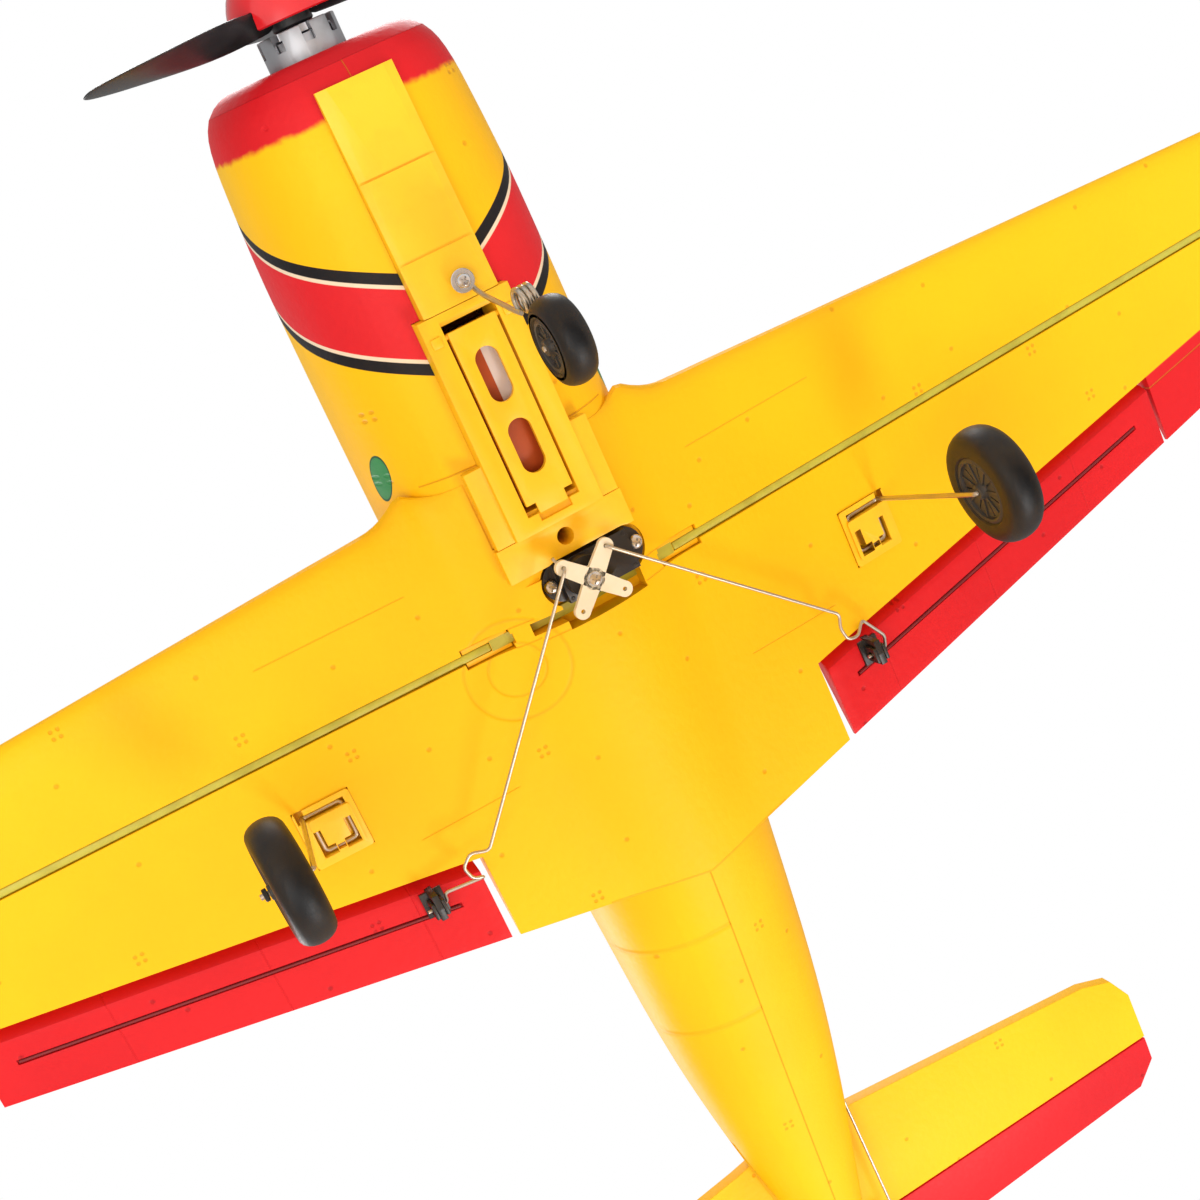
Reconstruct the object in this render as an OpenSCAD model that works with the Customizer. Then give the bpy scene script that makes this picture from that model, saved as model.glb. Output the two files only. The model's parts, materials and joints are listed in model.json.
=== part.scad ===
// Radio-controlled low-wing foam aeroplane with a wire tricycle undercarriage.
// Design frame: origin on the centre line at the spar, on the wing's underside, +X to port,
// +Y aft, +Z up, in millimetres. placed() stands the aeroplane on its wheels.

/* [Wing] */
// Wing span, tip to tip
wing_span = 600; // [580:10:620]
// Distance from the spar forward to the leading edge on the centre line
chord_ahead = 47.6; // [46:0.2:49]
// Distance from the spar aft to the trailing edge on the centre line
chord_behind = 93; // [92:0.5:94]
// Sweep of the leading edge, millimetres aft for each millimetre of span
le_sweep = 0.069; // [0.06:0.001:0.075]
// Forward sweep of the trailing edge, millimetres for each millimetre of span
te_sweep = 0.18; // [0.17:0.005:0.185]
// Dihedral of each panel
dihedral = 6.5; // [6:0.25:7]
// Greatest thickness as a share of the chord
wing_thickness = 0.11; // [0.105:0.001:0.115]

/* [Ailerons] */
// Distance of the inner end from the centre line
aileron_in = 61.3; // [61:0.1:62]
// Distance of the outer end from the centre line
aileron_out = 207; // [200:1:210]
// Hinge line's distance aft of the spar on the centre line
hinge_behind = 64.2; // [64:0.2:65]
// Forward sweep of the hinge line
hinge_sweep = 0.151; // [0.15:0.001:0.152]

/* [Undercarriage] */
// Height of the wing's underside above the ground at the spar
wing_z = 56.5; // [56.5:0.5:57]
// Diameter of a main wheel
main_wheel_d = 35.5; // [35:0.5:36]
// Diameter of the nose wheel
nose_wheel_d = 24.5; // [24:0.5:25]
// Distance of a main wheel's centre from the centre line
main_track = 111.8; // [111:0.2:113]
// Diameter of the leg wire
leg_wire = 1.5; // [1.4:0.1:1.6]

/* [Propeller] */
// Diameter of the propeller
prop_d = 150; // [140:5:155]
// Number of blades
blades = 3; // [2:1:4]

/* [Hidden] */

$fn = 48;
spar_y = -54.9;            // the spar is ahead of the middle of the overall length
socket_y = -21;            // the round socket in the bolt plate
socket_d = 5;
half_span = wing_span / 2;
rise = tan(dihedral);      // height gained for each millimetre of span
foam_wall = 4;
strip_top = -2;            // inner face of the belly strip
fit = 0.05;                // face to face clearance between fixed pieces

// ---------- helpers ----------

function unit(v) = v / norm(v);
function last(list) = list[len(list) - 1];

// A quadratic curve through a corner.
function corner(a, b, c, d, t) =
    let (s = b + unit(a - b) * d, e = b + unit(c - b) * d)
    (1 - t) * (1 - t) * s + 2 * t * (1 - t) * b + t * t * e;

// A path with its corners rounded over a length d on each side.
function rounded(p, d, steps = 4) = [
    p[0],
    for (i = [1 : len(p) - 2]) for (k = [0 : steps]) corner(p[i - 1], p[i], p[i + 1], d, k / steps),
    last(p)
];

function tangent(p, i) =
    unit((i < len(p) - 1 ? unit(p[i + 1] - p[i]) : [0, 0, 0]) + (i > 0 ? unit(p[i] - p[i - 1]) : [0, 0, 0]));
function square_to(n, t) = unit(n - (n * t) * t);
function any_normal(t) = square_to(abs(t.z) < 0.9 ? [0, 0, 1] : [0, 1, 0], t);
function carried(p, i) = i == 0 ? [any_normal(tangent(p, 0))] :
    let (before = carried(p, i - 1)) concat(before, [square_to(last(before), tangent(p, i))]);

// A round wire along a path of points.
module wire(p, r, sides = 10) {
    count = len(p);
    normals = carried(p, count - 1);
    points = [for (i = [0 : count - 1]) for (k = [0 : sides - 1])
        let (t = tangent(p, i), n = normals[i], b = cross(t, n), a = 360 * k / sides)
        p[i] + r * (cos(a) * n + sin(a) * b)];
    skin = [for (i = [0 : count - 2]) for (k = [0 : sides - 1])
        let (a = i * sides + k, b = i * sides + (k + 1) % sides)
        each [[a, a + sides, b], [b, a + sides, b + sides]]];
    ends = [[for (k = [0 : sides - 1]) k], [for (k = [sides - 1 : -1 : 0]) (count - 1) * sides + k]];
    polyhedron(points, concat(ends, skin));
}

// The solid between two convex outlines.
module prism(pair) {
    corners = concat(pair[0], pair[1]);
    hull() polyhedron(corners, [[for (k = [0 : len(corners) - 1]) k]]);
}

// A solid skinned over a row of convex outlines.
module loft(outlines) {
    for (i = [0 : len(outlines) - 2]) prism([outlines[i], outlines[i + 1]]);
}

module rounded_slab(size, r) {
    linear_extrude(size.z) translate([-size.x / 2, -size.y / 2]) {
        translate([r, 0]) square([size.x - 2 * r, size.y]);
        translate([0, r]) square([size.x, size.y - 2 * r]);
        for (x = [r, size.x - r], y = [r, size.y - r]) translate([x, y]) circle(r);
    }
}

// A slot with round ends along Y.
module slot(length, width, height) {
    linear_extrude(height) {
        square([width, length - width], center = true);
        for (s = [-1, 1]) translate([0, s * (length - width) / 2]) circle(width / 2);
    }
}

module placed() { translate([0, spar_y, wing_z]) children(); }
module on_side(side) { mirror([side < 0 ? 1 : 0, 0, 0]) children(); }
module along_x(x, y, z) { translate([x, y, z]) rotate([0, 90, 0]) children(); }
module along_y(x, y, z) { translate([x, y, z]) rotate([-90, 0, 0]) children(); }

// ---------- fuselage ----------

tail_y = 281;
half_width = [[-165, 27], [-161, 32], [-154, 35], [-140, 36.6], [-110, 38], [-40, 38], [0, 37.3],
              [50, 34.6], [100, 31.3], [160, 27.3], [200, 22], [245, 13.5], [281, 5.5]];
top_line = [[-165, 60], [-161, 65], [-154, 68.3], [-140, 70], [-110, 71.5], [-40, 74], [50, 74],
            [100, 72], [160, 68.5], [200, 66], [245, 63], [281, 60]];
bottom_line = [[-165, 6], [-161, 1], [-154, -2], [-140, -3.6], [-110, -5], [-40, -5.5], [0, -5],
               [50, -1.5], [91, 1.8], [175, 20.5], [245, 35], [281, 43]];
mid_line = [[-165, 33], [-40, 33], [50, 34], [100, 36], [160, 42], [200, 46], [245, 50], [281, 52]];
stations = [-161, -154, -140, -110, -80, -40, 0, 50, 91, 130, 175, 215, 250, 281];
squareness = 2.25;
section_points = 32;

function power(v, e) = sign(v) * pow(abs(v), e);
function section(y, inset) =
    let (mid = lookup(y, mid_line), w = lookup(y, half_width) - inset,
         up = lookup(y, top_line) - mid - inset, down = mid - lookup(y, bottom_line) - inset)
    [for (k = [0 : section_points - 1]) let (a = 360 * k / section_points)
        [w * power(cos(a), 2 / squareness), y,
         mid + (sin(a) > 0 ? up : down) * power(sin(a), 2 / squareness)]];

module fuselage_form(inset = 0, from = -161, to = tail_y) {
    loft([for (y = stations) if (y >= from && y <= to) section(y, inset)]);
}

saddle_front = -50;
saddle_back = 92;
saddle_z = 21;
tongue_half = 19.6;        // the belly tongue that carries the hatch reaches into the wing
tongue_back = -26;

// The block of the fuselage that belongs to the wing's centre section.
module saddle(grow = 0) {
    difference() {
        translate([-60, saddle_front - grow, -30])
            cube([120, saddle_back - saddle_front + 2 * grow, 30 + saddle_z + grow]);
        translate([-tongue_half + grow, saddle_front - 20, -40])
            cube([2 * (tongue_half - grow), tongue_back - saddle_front + 20 - grow, 100]);
    }
}

bay_front = -92;
bay_back = -28;

module fuselage_half(side) {
    color("gold") difference() {
        fuselage_form();
        fuselage_form(foam_wall, -140, 250);
        translate([side > 0 ? -80 : 0, -300, -100]) cube([80, 700, 300]);
        saddle(fit);
        // belly opening for the hatch frame and the strip ahead of it
        translate([-14, bay_front, -20]) cube([28, bay_back - bay_front + 20, 26]);
        translate([-11.5, -170, -20]) cube([23, 78.2, 20 + strip_top + fit]);
        translate([2, -97.3, -20]) cylinder(d = 5, h = 30);
        // firewall opening, cockpit opening, servo bay and tail slots
        along_y(0, -170, 33) cylinder(d = 46, h = 40);
        translate([-17, -38, 62]) cube([34, 108, 30]);
        // the elevator's hinge wire, the stabiliser's slot and the pushrods' exits
        along_x(-30, elevator_hinge_y, tail_z) cylinder(d = 4.5, h = 60);
        translate([-40, 219, tail_z - 2.6]) cube([80, elevator_hinge_y - 219, 5.2]);
        translate([14, 160, tail_rod_z[1] - 2]) cube([20, 80, 6]);
        translate([-30, 205, tail_rod_z[1] - 1]) cube([22.5, 80, 6]);
        translate([-1.6, 210, 56]) cube([3.2, 71.2, 20]);
    }
}

module cowl_ring() {
    color("red") difference() {
        loft([section(-165, 0), section(-161 - fit, 0)]);
        along_y(0, -170, 33) cylinder(d = 46, h = 12);
    }
}

prop_z = 33;

module motor_mount() {
    color("dimgray") difference() {
        union() {
            along_y(0, -157, prop_z) cylinder(d = 45.6, h = 3);
            along_y(0, -157, prop_z) difference() {
                cylinder(d = 45.6, h = 14);
                translate([0, 0, -1]) cylinder(d = 41, h = 16);
            }
        }
        along_y(0, -160, prop_z) cylinder(d = 8, h = 10);
        for (a = [45 : 90 : 315]) along_y(9 * cos(a), -160, prop_z + 9 * sin(a)) cylinder(d = 2.1, h = 10);
    }
}

module mount_screws() {
    color("silver") for (a = [45 : 90 : 315])
        along_y(9 * cos(a), -160.6, prop_z + 9 * sin(a)) {
            translate([0, 0, 3.6 + 3 + fit]) difference() {
                cylinder(d = 3.6, h = 1.6);
                translate([0, 0, 0.8]) cylinder(d = 1.4, h = 2, $fn = 6);
            }
            cylinder(d = 2, h = 6.7);
        }
}

// An outrunner: its base is bolted to the mount, and its bell turns with the shaft.
module motor_base() {
    color("silver") along_y(0, -162, prop_z) difference() {
        union() {
            translate([0, 0, 2.5]) cylinder(d = 22, h = 2.5 - fit);
            translate([0, 0, -9.4]) cylinder(d = 19.7, h = 12);
            translate([0, 0, 4.8]) cylinder(d = 7.6, h = 8);
        }
        translate([0, 0, -10]) cylinder(d = 3.12, h = 30);
        for (a = [45 : 90 : 315]) translate([9 * cos(a), 9 * sin(a), 0]) cylinder(d = 2.1, h = 10);
    }
}

module motor_bell() {
    color("silver") along_y(0, -175, prop_z) {
        difference() {
            translate([0, 0, 1]) cylinder(d = 23, h = 14);
            translate([0, 0, 3]) cylinder(d = 20.5, h = 13);
        }
        translate([0, 0, -8]) cylinder(d = 3, h = 34);
    }
}

module blade() {
    // a twisted blade from a few flattened outlines
    radius = [5.5, 14, 28, 44, 60, prop_d / 2 - 4, prop_d / 2];
    chord = [7, 9.5, 14, 14.5, 12, 8, 3.5];
    pitch = [55, 44, 31, 22, 17, 14, 13];
    for (i = [0 : len(radius) - 2]) hull() for (j = [i, i + 1])
        translate([radius[j], 0, 0]) rotate([0, 90, 0]) rotate([0, 0, pitch[j] - 90])
            linear_extrude(0.05) scale([1, 0.16]) circle(chord[j] / 2, $fn = 16);
}

module propeller() {
    color("dimgray") difference() {
        union() {
            along_y(0, -176.2, prop_z) cylinder(d = 12, h = 2);
            along_y(0, -180, prop_z) cylinder(d = 12, h = 4);
            translate([0, -178, prop_z])
                for (k = [0 : blades - 1]) rotate([0, 360 * k / blades + 30, 0]) blade();
        }
        along_y(0, -190, prop_z) cylinder(d = 3.04, h = 30);
    }
}

module spinner() {
    color("red") difference() {
        along_y(0, -185 - 10.2, prop_z) intersection() {
            translate([0, 0, 21]) sphere(r = 21);
            cylinder(d = 34, h = 18.8);
        }
        along_y(0, -191.8, prop_z) cylinder(d = 14.5, h = 12);
        along_y(0, -183, prop_z) cylinder(d = 30, h = 8);
        translate([0, -178, prop_z]) for (k = [0 : blades - 1]) rotate([0, 360 * k / blades + 30, 0])
            translate([0, -4, -4.4]) cube([40, 8, 8.8]);
    }
}

module prop_nut() {
    color("silver") along_y(0, -183, prop_z) difference() {
        union() { cylinder(d = 5.5, h = 3 - fit, $fn = 6); }
        translate([0, 0, -1]) cylinder(d = 3.04, h = 8);
    }
}

module speed_controller() { color("darkgreen") translate([-11, -138, 22]) cube([22, 34, 7]); }
module receiver() { color("black") translate([-12, -22, 30]) cube([24, 36, 10]); }

module battery_pack() {
    color("chocolate") translate([-7.6, -84, -4.5]) cube([15.2, 50, 17]);
}

// ---------- belly hatch ----------

hatch_front = -87.5;
hatch_back = -34;
hatch_half = 7.3;
hatch_z = -9;
hatch_pin_y = -85.2;
hatch_pin_z = -7.4;

module hatch_frame() {
    color("gold") difference() {
        union() {
            translate([-13.9, bay_front + 0.2, hatch_z]) cube([27.8, tongue_back - bay_front - 0.4, 14.6]);
            translate([-19.4, saddle_front + 0.6, hatch_z + 2.2]) cube([5.55, 23.2, 3.2]);
            translate([13.85, saddle_front + 0.6, hatch_z + 2.2]) cube([5.55, 23.2, 3.2]);
        }
        translate([-8.2, -89.6, hatch_z - 1]) cube([16.4, 58.6, 3.4]);
        translate([-8.2, -88.2, hatch_z + 2.3]) cube([16.4, 56.2, 20]);
        along_x(-9.6, hatch_pin_y, hatch_pin_z) cylinder(d = 1.7, h = 19.2);
        translate([-5, -31.2, hatch_z - 1]) cube([10, 2.6, 2.6]);
    }
}

module battery_hatch() {
    color("gold") difference() {
        union() {
            translate([-hatch_half, hatch_front + 1.4, hatch_z])
                cube([2 * hatch_half, hatch_back - hatch_front - 1.4, 1.8]);
            translate([-4.5, hatch_back - 1, hatch_z]) cube([9, 4.2, 1.2]);
            along_x(-9.2, hatch_pin_y, hatch_pin_z) cylinder(d = 1.5, h = 18.4);
        }
        for (y = [-70.9, -49.4]) translate([0, y, hatch_z - 1]) slot(16, 7, 4);
    }
}

module belly_strip() {
    color("gold") difference() {
        hull() {
            translate([-11.4, -156, -3.2]) cube([22.8, 1, 1.2]);
            translate([-11.4, bay_front - 1, -8.4]) cube([22.8, 1, 5.9]);
            translate([-8.4, -156, -4.2]) cube([16.8, 1, 1]);
            translate([-9.4, bay_front - 1, -9]) cube([18.8, 1, 1]);
        }
        translate([2, -97.3, -20]) cylinder(d = 2.1, h = 30);
    }
}

module nose_gear_screw() {
    color("silver") translate([2, -97.3, 0]) {
        difference() {
            union() {
                translate([0, 0, -13.2]) cylinder(d1 = 3.4, d2 = 4.2, h = 0.6);
                translate([0, 0, -12.6 - 0.01]) cylinder(d = 4.2, h = 0.9);
            }
            for (a = [0, 90]) rotate([0, 0, a]) translate([-1.1, -0.25, -13.5]) cube([2.2, 0.5, 1.1]);
        }
        translate([0, 0, -11.7]) cylinder(d = 6.6, h = 0.7);
        translate([0, 0, -11.2]) cylinder(d = 2, h = 14);
    }
}

// ---------- nose leg ----------

nose_x = 10.8;
nose_wheel_y = -76.8;
nose_wheel_z = nose_wheel_d / 2 - wing_z;
coil_centre = [10, -88.6, -31];
coil_r = 3.1;
coil_pitch = 1.6;
coil_turns = 3;

function coil_point(turns) =
    [coil_centre.x - coil_turns * coil_pitch / 2 + turns * coil_pitch,
     coil_centre.y + coil_r * cos(360 * turns), coil_centre.z + coil_r * sin(360 * turns)];

nose_leg_x = nose_x + 6.6;

// Clamped by its eye under the washer, down to the coil that springs it, and on to the axle.
module nose_leg() {
    eye = [for (a = [300 : -30 : 20]) [2 + 2.1 * cos(a), -97.3 + 2.1 * sin(a), -10.2]];
    coil = [for (k = [0 : 16 * coil_turns]) coil_point(k / 16)];
    foot = [nose_leg_x, nose_wheel_y, nose_wheel_z];
    path = concat(eye, [[4.2, -94.2, -10.2], [4.9, -91.8, -14], [7.1, -86.4, -27.5]], coil,
                  [[14.2, -85.8, -32], [nose_leg_x, -84.8, -34.5],
                   foot + [0, -0.9, 1], foot + [-0.6, 0, 0], foot + [-1.6, 0, 0]]);
    color("silver") {
        wire(path, leg_wire / 2, 8);
        along_x(nose_x - 5.9, nose_wheel_y, nose_wheel_z)
            cylinder(d = leg_wire + 0.1, h = nose_leg_x - nose_x + 5);
    }
}

// ---------- wheels ----------

module tyre(d, width, hub_d) {
    r = d / 2;
    crown = width * 0.36;
    color("#222222") rotate_extrude($fn = 72) difference() {
        union() {
            translate([r - crown, 0]) scale([1, 1]) circle(crown);
            translate([hub_d / 2, -width / 2]) square([r - hub_d / 2 - crown * 0.95, width]);
            for (s = [-1, 1])
                translate([r - crown * 0.95 - 0.2, s * (width / 2 - crown * 0.62)]) circle(crown * 0.62);
        }
        translate([-1, -width]) square([hub_d / 2 + 1, 2 * width]);
    }
}

module hub(d, width, bore, slots) {
    color("#333333") difference() {
        union() {
            translate([0, 0, -width / 2 + 0.9]) cylinder(d = d - 2 * fit, h = width - 1.8);
            translate([0, 0, -width / 2 - 0.6]) cylinder(d = 4.6, h = width + 1.2);
        }
        translate([0, 0, -width]) cylinder(d = bore, h = 2 * width);
        for (s = [-1, 1], k = [0 : slots - 1]) rotate([0, 0, 360 * k / slots])
            translate([d * 0.19, -0.3, s * (width / 2 - 0.9) - 0.6]) cube([d * 0.23, 0.6, 1.2]);
    }
}

main_width = 11;
nose_width = 9.4;
main_wheel_y = 16.1;
main_wheel_z = main_wheel_d / 2 - wing_z;

main_rim_d = 20.6;
main_slots = 14;

module main_tyre(side) {
    on_side(side) along_x(main_track, main_wheel_y, main_wheel_z) tyre(main_wheel_d, main_width, main_rim_d);
}

module main_hub(side) {
    on_side(side) along_x(main_track, main_wheel_y, main_wheel_z)
        hub(main_rim_d, main_width, leg_wire + 0.2, main_slots);
}
module nose_tyre() { along_x(nose_x, nose_wheel_y, nose_wheel_z) tyre(nose_wheel_d, nose_width, 15.2); }
module nose_hub() { along_x(nose_x, nose_wheel_y, nose_wheel_z) hub(15.2, nose_width, leg_wire + 0.2, 12); }

// ---------- main legs ----------

block_in = 84;
block_out = 101.4;
block_front = 17.6;
block_back = 36;
block_z = rise * 92.7;     // the wing's underside in the middle of the block
block_depth = 5;

// Tilted to the wing's underside, with z = 0 on that face and +Z into the wing.
module in_block() {
    translate([92.7, 0, block_z]) rotate([0, -dihedral, 0]) translate([-92.7, 0, 0]) children();
}

module gear_block(side) {
    middle_x = (block_in + block_out) / 2;
    middle_y = (block_front + block_back) / 2;
    color("gold") on_side(side) in_block() difference() {
        union() {
            translate([middle_x, middle_y, -0.6])
                rounded_slab([block_out - block_in, block_back - block_front, block_depth + 0.6], 1);
            translate([middle_x - 1, middle_y + 1, -1.3]) rounded_slab([12.6, 13, 1.4], 1);
        }
        // the groove for the cross wire, and the window over the wire's hook
        translate([86.2, 19.2, -3]) cube([14.2, 2.2, 5.4]);
        translate([98.2, 17, -3]) cube([2.6, 4.4, 5.4]);
        difference() {
            translate([86.6, 25, -3]) cube([11.6, 8.4, 5]);
            translate([88.8, 24, -4]) cube([7.2, 6.4, 8]);
            translate([91, 24, -4]) cube([2.8, 12, 8]);
        }
        translate([91.2, 31.2, -1.6]) cube([2.4, 1.6, 3.6]);
        translate([86.2, 19.4, 0.6]) cube([1.9, 14, 1.9]);
        translate([86.4, 31.4, 0.5]) cube([11.6, 1.9, 1.9]);
        translate([96.2, 25, 0.5]) cube([1.9, 8, 1.9]);
    }
}

module main_leg(side) {
    depth = 1.45;
    inner = main_track - main_width / 2 - 1.1;
    function tilt(p) = [92.7 + (p.x - 92.7) * cos(dihedral) - p.z * sin(dihedral), p.y,
                        block_z + (p.x - 92.7) * sin(dihedral) + p.z * cos(dihedral)];
    hook = [[97.1, 25.6, depth], [97.1, 32.35, depth], [87.2, 32.35, depth],
            [87.2, 20.3, depth], [99.5, 20.3, depth]];
    strut = [[99.6, 19.6, 6], [inner - 0.2, main_wheel_y, main_wheel_z],
             [inner + 1.5, main_wheel_y, main_wheel_z]];
    path = concat([for (p = hook) tilt(p)], strut);
    color("silver") on_side(side) {
        wire(rounded(path, 0.9, 3), leg_wire / 2, 8);
        along_x(inner + 0.4, main_wheel_y, main_wheel_z) cylinder(d = leg_wire + 0.1, h = main_width + 3.8);
    }
}

// Pressed on the axles' outer ends.
module wheel_collars() {
    color("silver") for (side = [-1, 1]) on_side(side)
        along_x(main_track + main_width / 2 + 0.9, main_wheel_y, main_wheel_z) difference() {
            cylinder(d = 3.6, h = 1.3);
            translate([0, 0, -1]) cylinder(d = leg_wire + 0.1 + 2 * fit, h = 4);
        }
}

// ---------- wing ----------

tip_start = half_span - 30;
tip_blend = 0.94;

function tip_scale(x) =
    x <= tip_start ? 1 : sqrt(1 - tip_blend * pow((x - tip_start) / (half_span - tip_start), 2));
function le_y(x) = -chord_ahead + le_sweep * x;
function te_y(x) = chord_behind - te_sweep * x;
function hinge_y(x) = hinge_behind - hinge_sweep * x;
function chord(x) = te_y(x) - le_y(x);
function bulge(s) =
    5 * (0.2969 * sqrt(s) - 0.126 * s - 0.3516 * s * s + 0.2843 * pow(s, 3) - 0.1036 * pow(s, 4));
function lower_z(s) = s < 0.14 ? 0.04 * pow(1 - sqrt(s / 0.14), 2) : 0;
function upper_z(x, s) = lower_z(s) + 2 * wing_thickness * bulge(s) + 1.2 * s / chord(x);

// A point on the wing at span x and share s of the chord, on the upper or lower skin.
function wing_point(x, s, upper) =
    let (k = tip_scale(x), c = chord(x), mid = (le_y(x) + te_y(x)) / 2 - 0.12 * c,
         h = upper ? upper_z(x, s) : lower_z(s))
    [x, mid + (le_y(x) + s * c - mid) * k, x * rise + 0.04 * c * (1 - k) + h * c * k];
upper_shares = [1, 0.9, 0.78, 0.64, 0.5, 0.36, 0.24, 0.14, 0.07, 0.025, 0.004];
lower_shares = [0, 0.012, 0.045, 0.14, 0.4, 1];
function wing_outline(x) =
    concat([for (s = upper_shares) wing_point(x, s, true)],
           [for (s = lower_shares) wing_point(x, s, false)]);
wing_stations = [0, 60, 130, 207, tip_start, tip_start + 12, tip_start + 20, tip_start + 26,
                 tip_start + 29, half_span];

module wing_panel() { loft([for (x = wing_stations) wing_outline(x)]); }

// The plan of the trailing edge behind the hinge line between two spans.
module hinge_plan(x_in, x_out, ahead) {
    translate([0, 0, -20]) linear_extrude(120) polygon([
        [x_in, hinge_y(x_in) + ahead], [x_out, hinge_y(x_out) + ahead],
        [x_out, te_y(x_out) + 20], [x_in, te_y(x_in) + 20]]);
}

servo_y = -8.8;
servo_x = 5;
ear_screw = 13.9;          // from the middle of a servo to its ear screws
groove = 3;

module servo_pocket() {
    translate([servo_x, servo_y, -12]) rotate([0, 0, 90]) slot(34.4, 14, 12.4);
    translate([servo_x - 12, servo_y - 6.6, -2]) cube([24, 13.2, 22.4]);
    translate([-9, 0, -12]) cube([26, 4.6, 11.5]);
    for (s = [-1, 1]) translate([servo_x + s * ear_screw, servo_y, -2]) cylinder(d = 2.1, h = 7.2);
}

module spar_groove() {
    for (side = [-1, 1]) on_side(side) rotate([0, -dihedral, 0]) {
        translate([24, -groove / 2, -6]) cube([half_span - 42, groove, 9.2]);
        translate([24.6, -3.1, -6]) cube([15, 6.2, 9.3]);
    }
    for (side = [-1, 1]) on_side(side) rotate([0, -dihedral, 0])
        translate([-1, -1.8, 0.3]) cube([30, 3.6, 2.9]);
}

module wing() {
    color("gold") difference() {
        union() {
            for (side = [-1, 1]) on_side(side) wing_panel();
            intersection() {
                difference() { fuselage_form(); translate([-8, -16, 21]) cube([16, 10, 1]); }
                saddle();
            }
        }
        translate([-tongue_half - fit, -80, -40]) cube([2 * tongue_half + 2 * fit, 80 + tongue_back, 100]);
        for (side = [-1, 1]) on_side(side) {
            hinge_plan(aileron_in - 2.5, aileron_out + 1.5, 0);
            in_block() translate([block_in - 0.1, block_front - 0.1, -8])
                cube([block_out - block_in + 0.2, block_back - block_front + 0.2, 8 + block_depth + 0.1]);
        }
        servo_pocket();
        spar_groove();
        translate([-20.1, tongue_back - 1, -12]) cube([40.2, 11.6, 8.8]);
        translate([0, socket_y, -12]) cylinder(d = 9.2, h = 20);
        // above the saddle the fuselage begins
        translate([-27, -45, 14]) cube([54, 120, 20]);
    }
}

module wing_bolt_plate() {
    color("gold") difference() {
        union() {
            translate([-20, tongue_back + 0.1, -6.4]) cube([40, 10.4, 3.1]);
            translate([0, socket_y, -3.4]) cylinder(d = 9, h = 9.4);
        }
        translate([0, socket_y, -10]) cylinder(d = socket_d, h = 30);
        translate([servo_x, servo_y, -12]) rotate([0, 0, 90]) slot(34.6, 14.4, 20);
    }
}

module spar(side) {
    color("yellowgreen") on_side(side) rotate([0, -dihedral, 0])
        translate([31, -1.3, 0.5]) cube([half_span - 50, 2.6, 2.4]);
}

module spar_joiner() {
    color("olivedrab") for (side = [-1, 1]) on_side(side) rotate([0, -dihedral, 0]) difference() {
        union() {
            translate([25, -2.7, 0.8]) cube([14.2, 5.4, 2.3]);
            translate([-0.5, -1.6, 0.6]) cube([26.5, 3.2, 2.2]);
        }
        translate([30.9, -1.35, 0]) cube([20, 2.7, 4]);
    }
}

// ---------- ailerons ----------

bevel = 4;                 // how far the underside's bevel reaches behind the hinge line
hinge_gap = 0.3;
function share(x, y) = (y - le_y(x)) / chord(x);

// Behind the hinge the section follows the wing's, and its front slopes back from the upper skin.
function aileron_outline(x) =
    let (s = share(x, hinge_y(x) + hinge_gap))
    concat([for (k = [0 : 4]) wing_point(x, s + (1 - s) * k / 4, true)],
           [wing_point(x, 1, false), wing_point(x, share(x, hinge_y(x) + bevel), false)]);

function groove_outline(x) =
    [for (p = [[-0.5, -0.5], [0.5, -0.5], [0.5, 0.5], [-0.5, 0.5]])
        [x, hinge_y(x) + 12.2 + p.x, x * rise + p.y]];

module aileron(side) {
    color("red") on_side(side) difference() {
        loft([for (x = [aileron_in, 110, 160, aileron_out]) aileron_outline(x)]);
        prism([groove_outline(70), groove_outline(198)]);
        translate([horn_x - 1.1, 56.1, 0]) cube([2.2, 8.2, 10.3]);
    }
}

horn_x = 76.9;
horn_y = 60.7;
horn_z = 3.8;
horn_foot_z = rise * (horn_x - 3.4) - 1.1;

module aileron_horn(side) {
    color("#1a1a1a") on_side(side) difference() {
        union() {
            translate([horn_x - 1, 56.2, 1.2]) cube([2, 8, 10]);
            translate([horn_x - 3.4, 56.6, horn_foot_z]) rotate([0, -dihedral, 0]) cube([6.8, 8, 1]);
            along_x(horn_x - 1, horn_y, horn_z) cylinder(d = 5.4, h = 2);
        }
        along_x(horn_x - 5, horn_y, horn_z) cylinder(d = 2.7, h = 10);
        translate([horn_x - 5, 54, 10.2]) cube([10, 12, 5]);
    }
}

// ---------- aileron servo ----------

servo_ear_z = -2.2;
arm_z = -15.7;
arm_reach = 9.6;

module servo_case() {
    // a 9 gram servo, horn side down, with its shaft on the axis x = y = 0
    difference() {
        union() {
            translate([servo_x - 11.5, -6, -4]) cube([23, 12, 22.4]);
            translate([servo_x, 0, 0]) rotate([0, 0, 90]) slot(32.2, 12, 2.4);
            translate([0, 0, -8]) cylinder(d = 11.8, h = 4.2);
            translate([6.4, 0, -8]) cylinder(d = 5.6, h = 4.2);
            translate([0, 0, -11.2]) cylinder(d = 4.6, h = 4.2);
        }
        for (s = [-1, 1]) translate([servo_x + s * ear_screw, 0, -1]) cylinder(d = 2.1, h = 5);
    }
}

module aileron_servo() { color("#222226") translate([0, servo_y, servo_ear_z]) servo_case(); }

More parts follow.
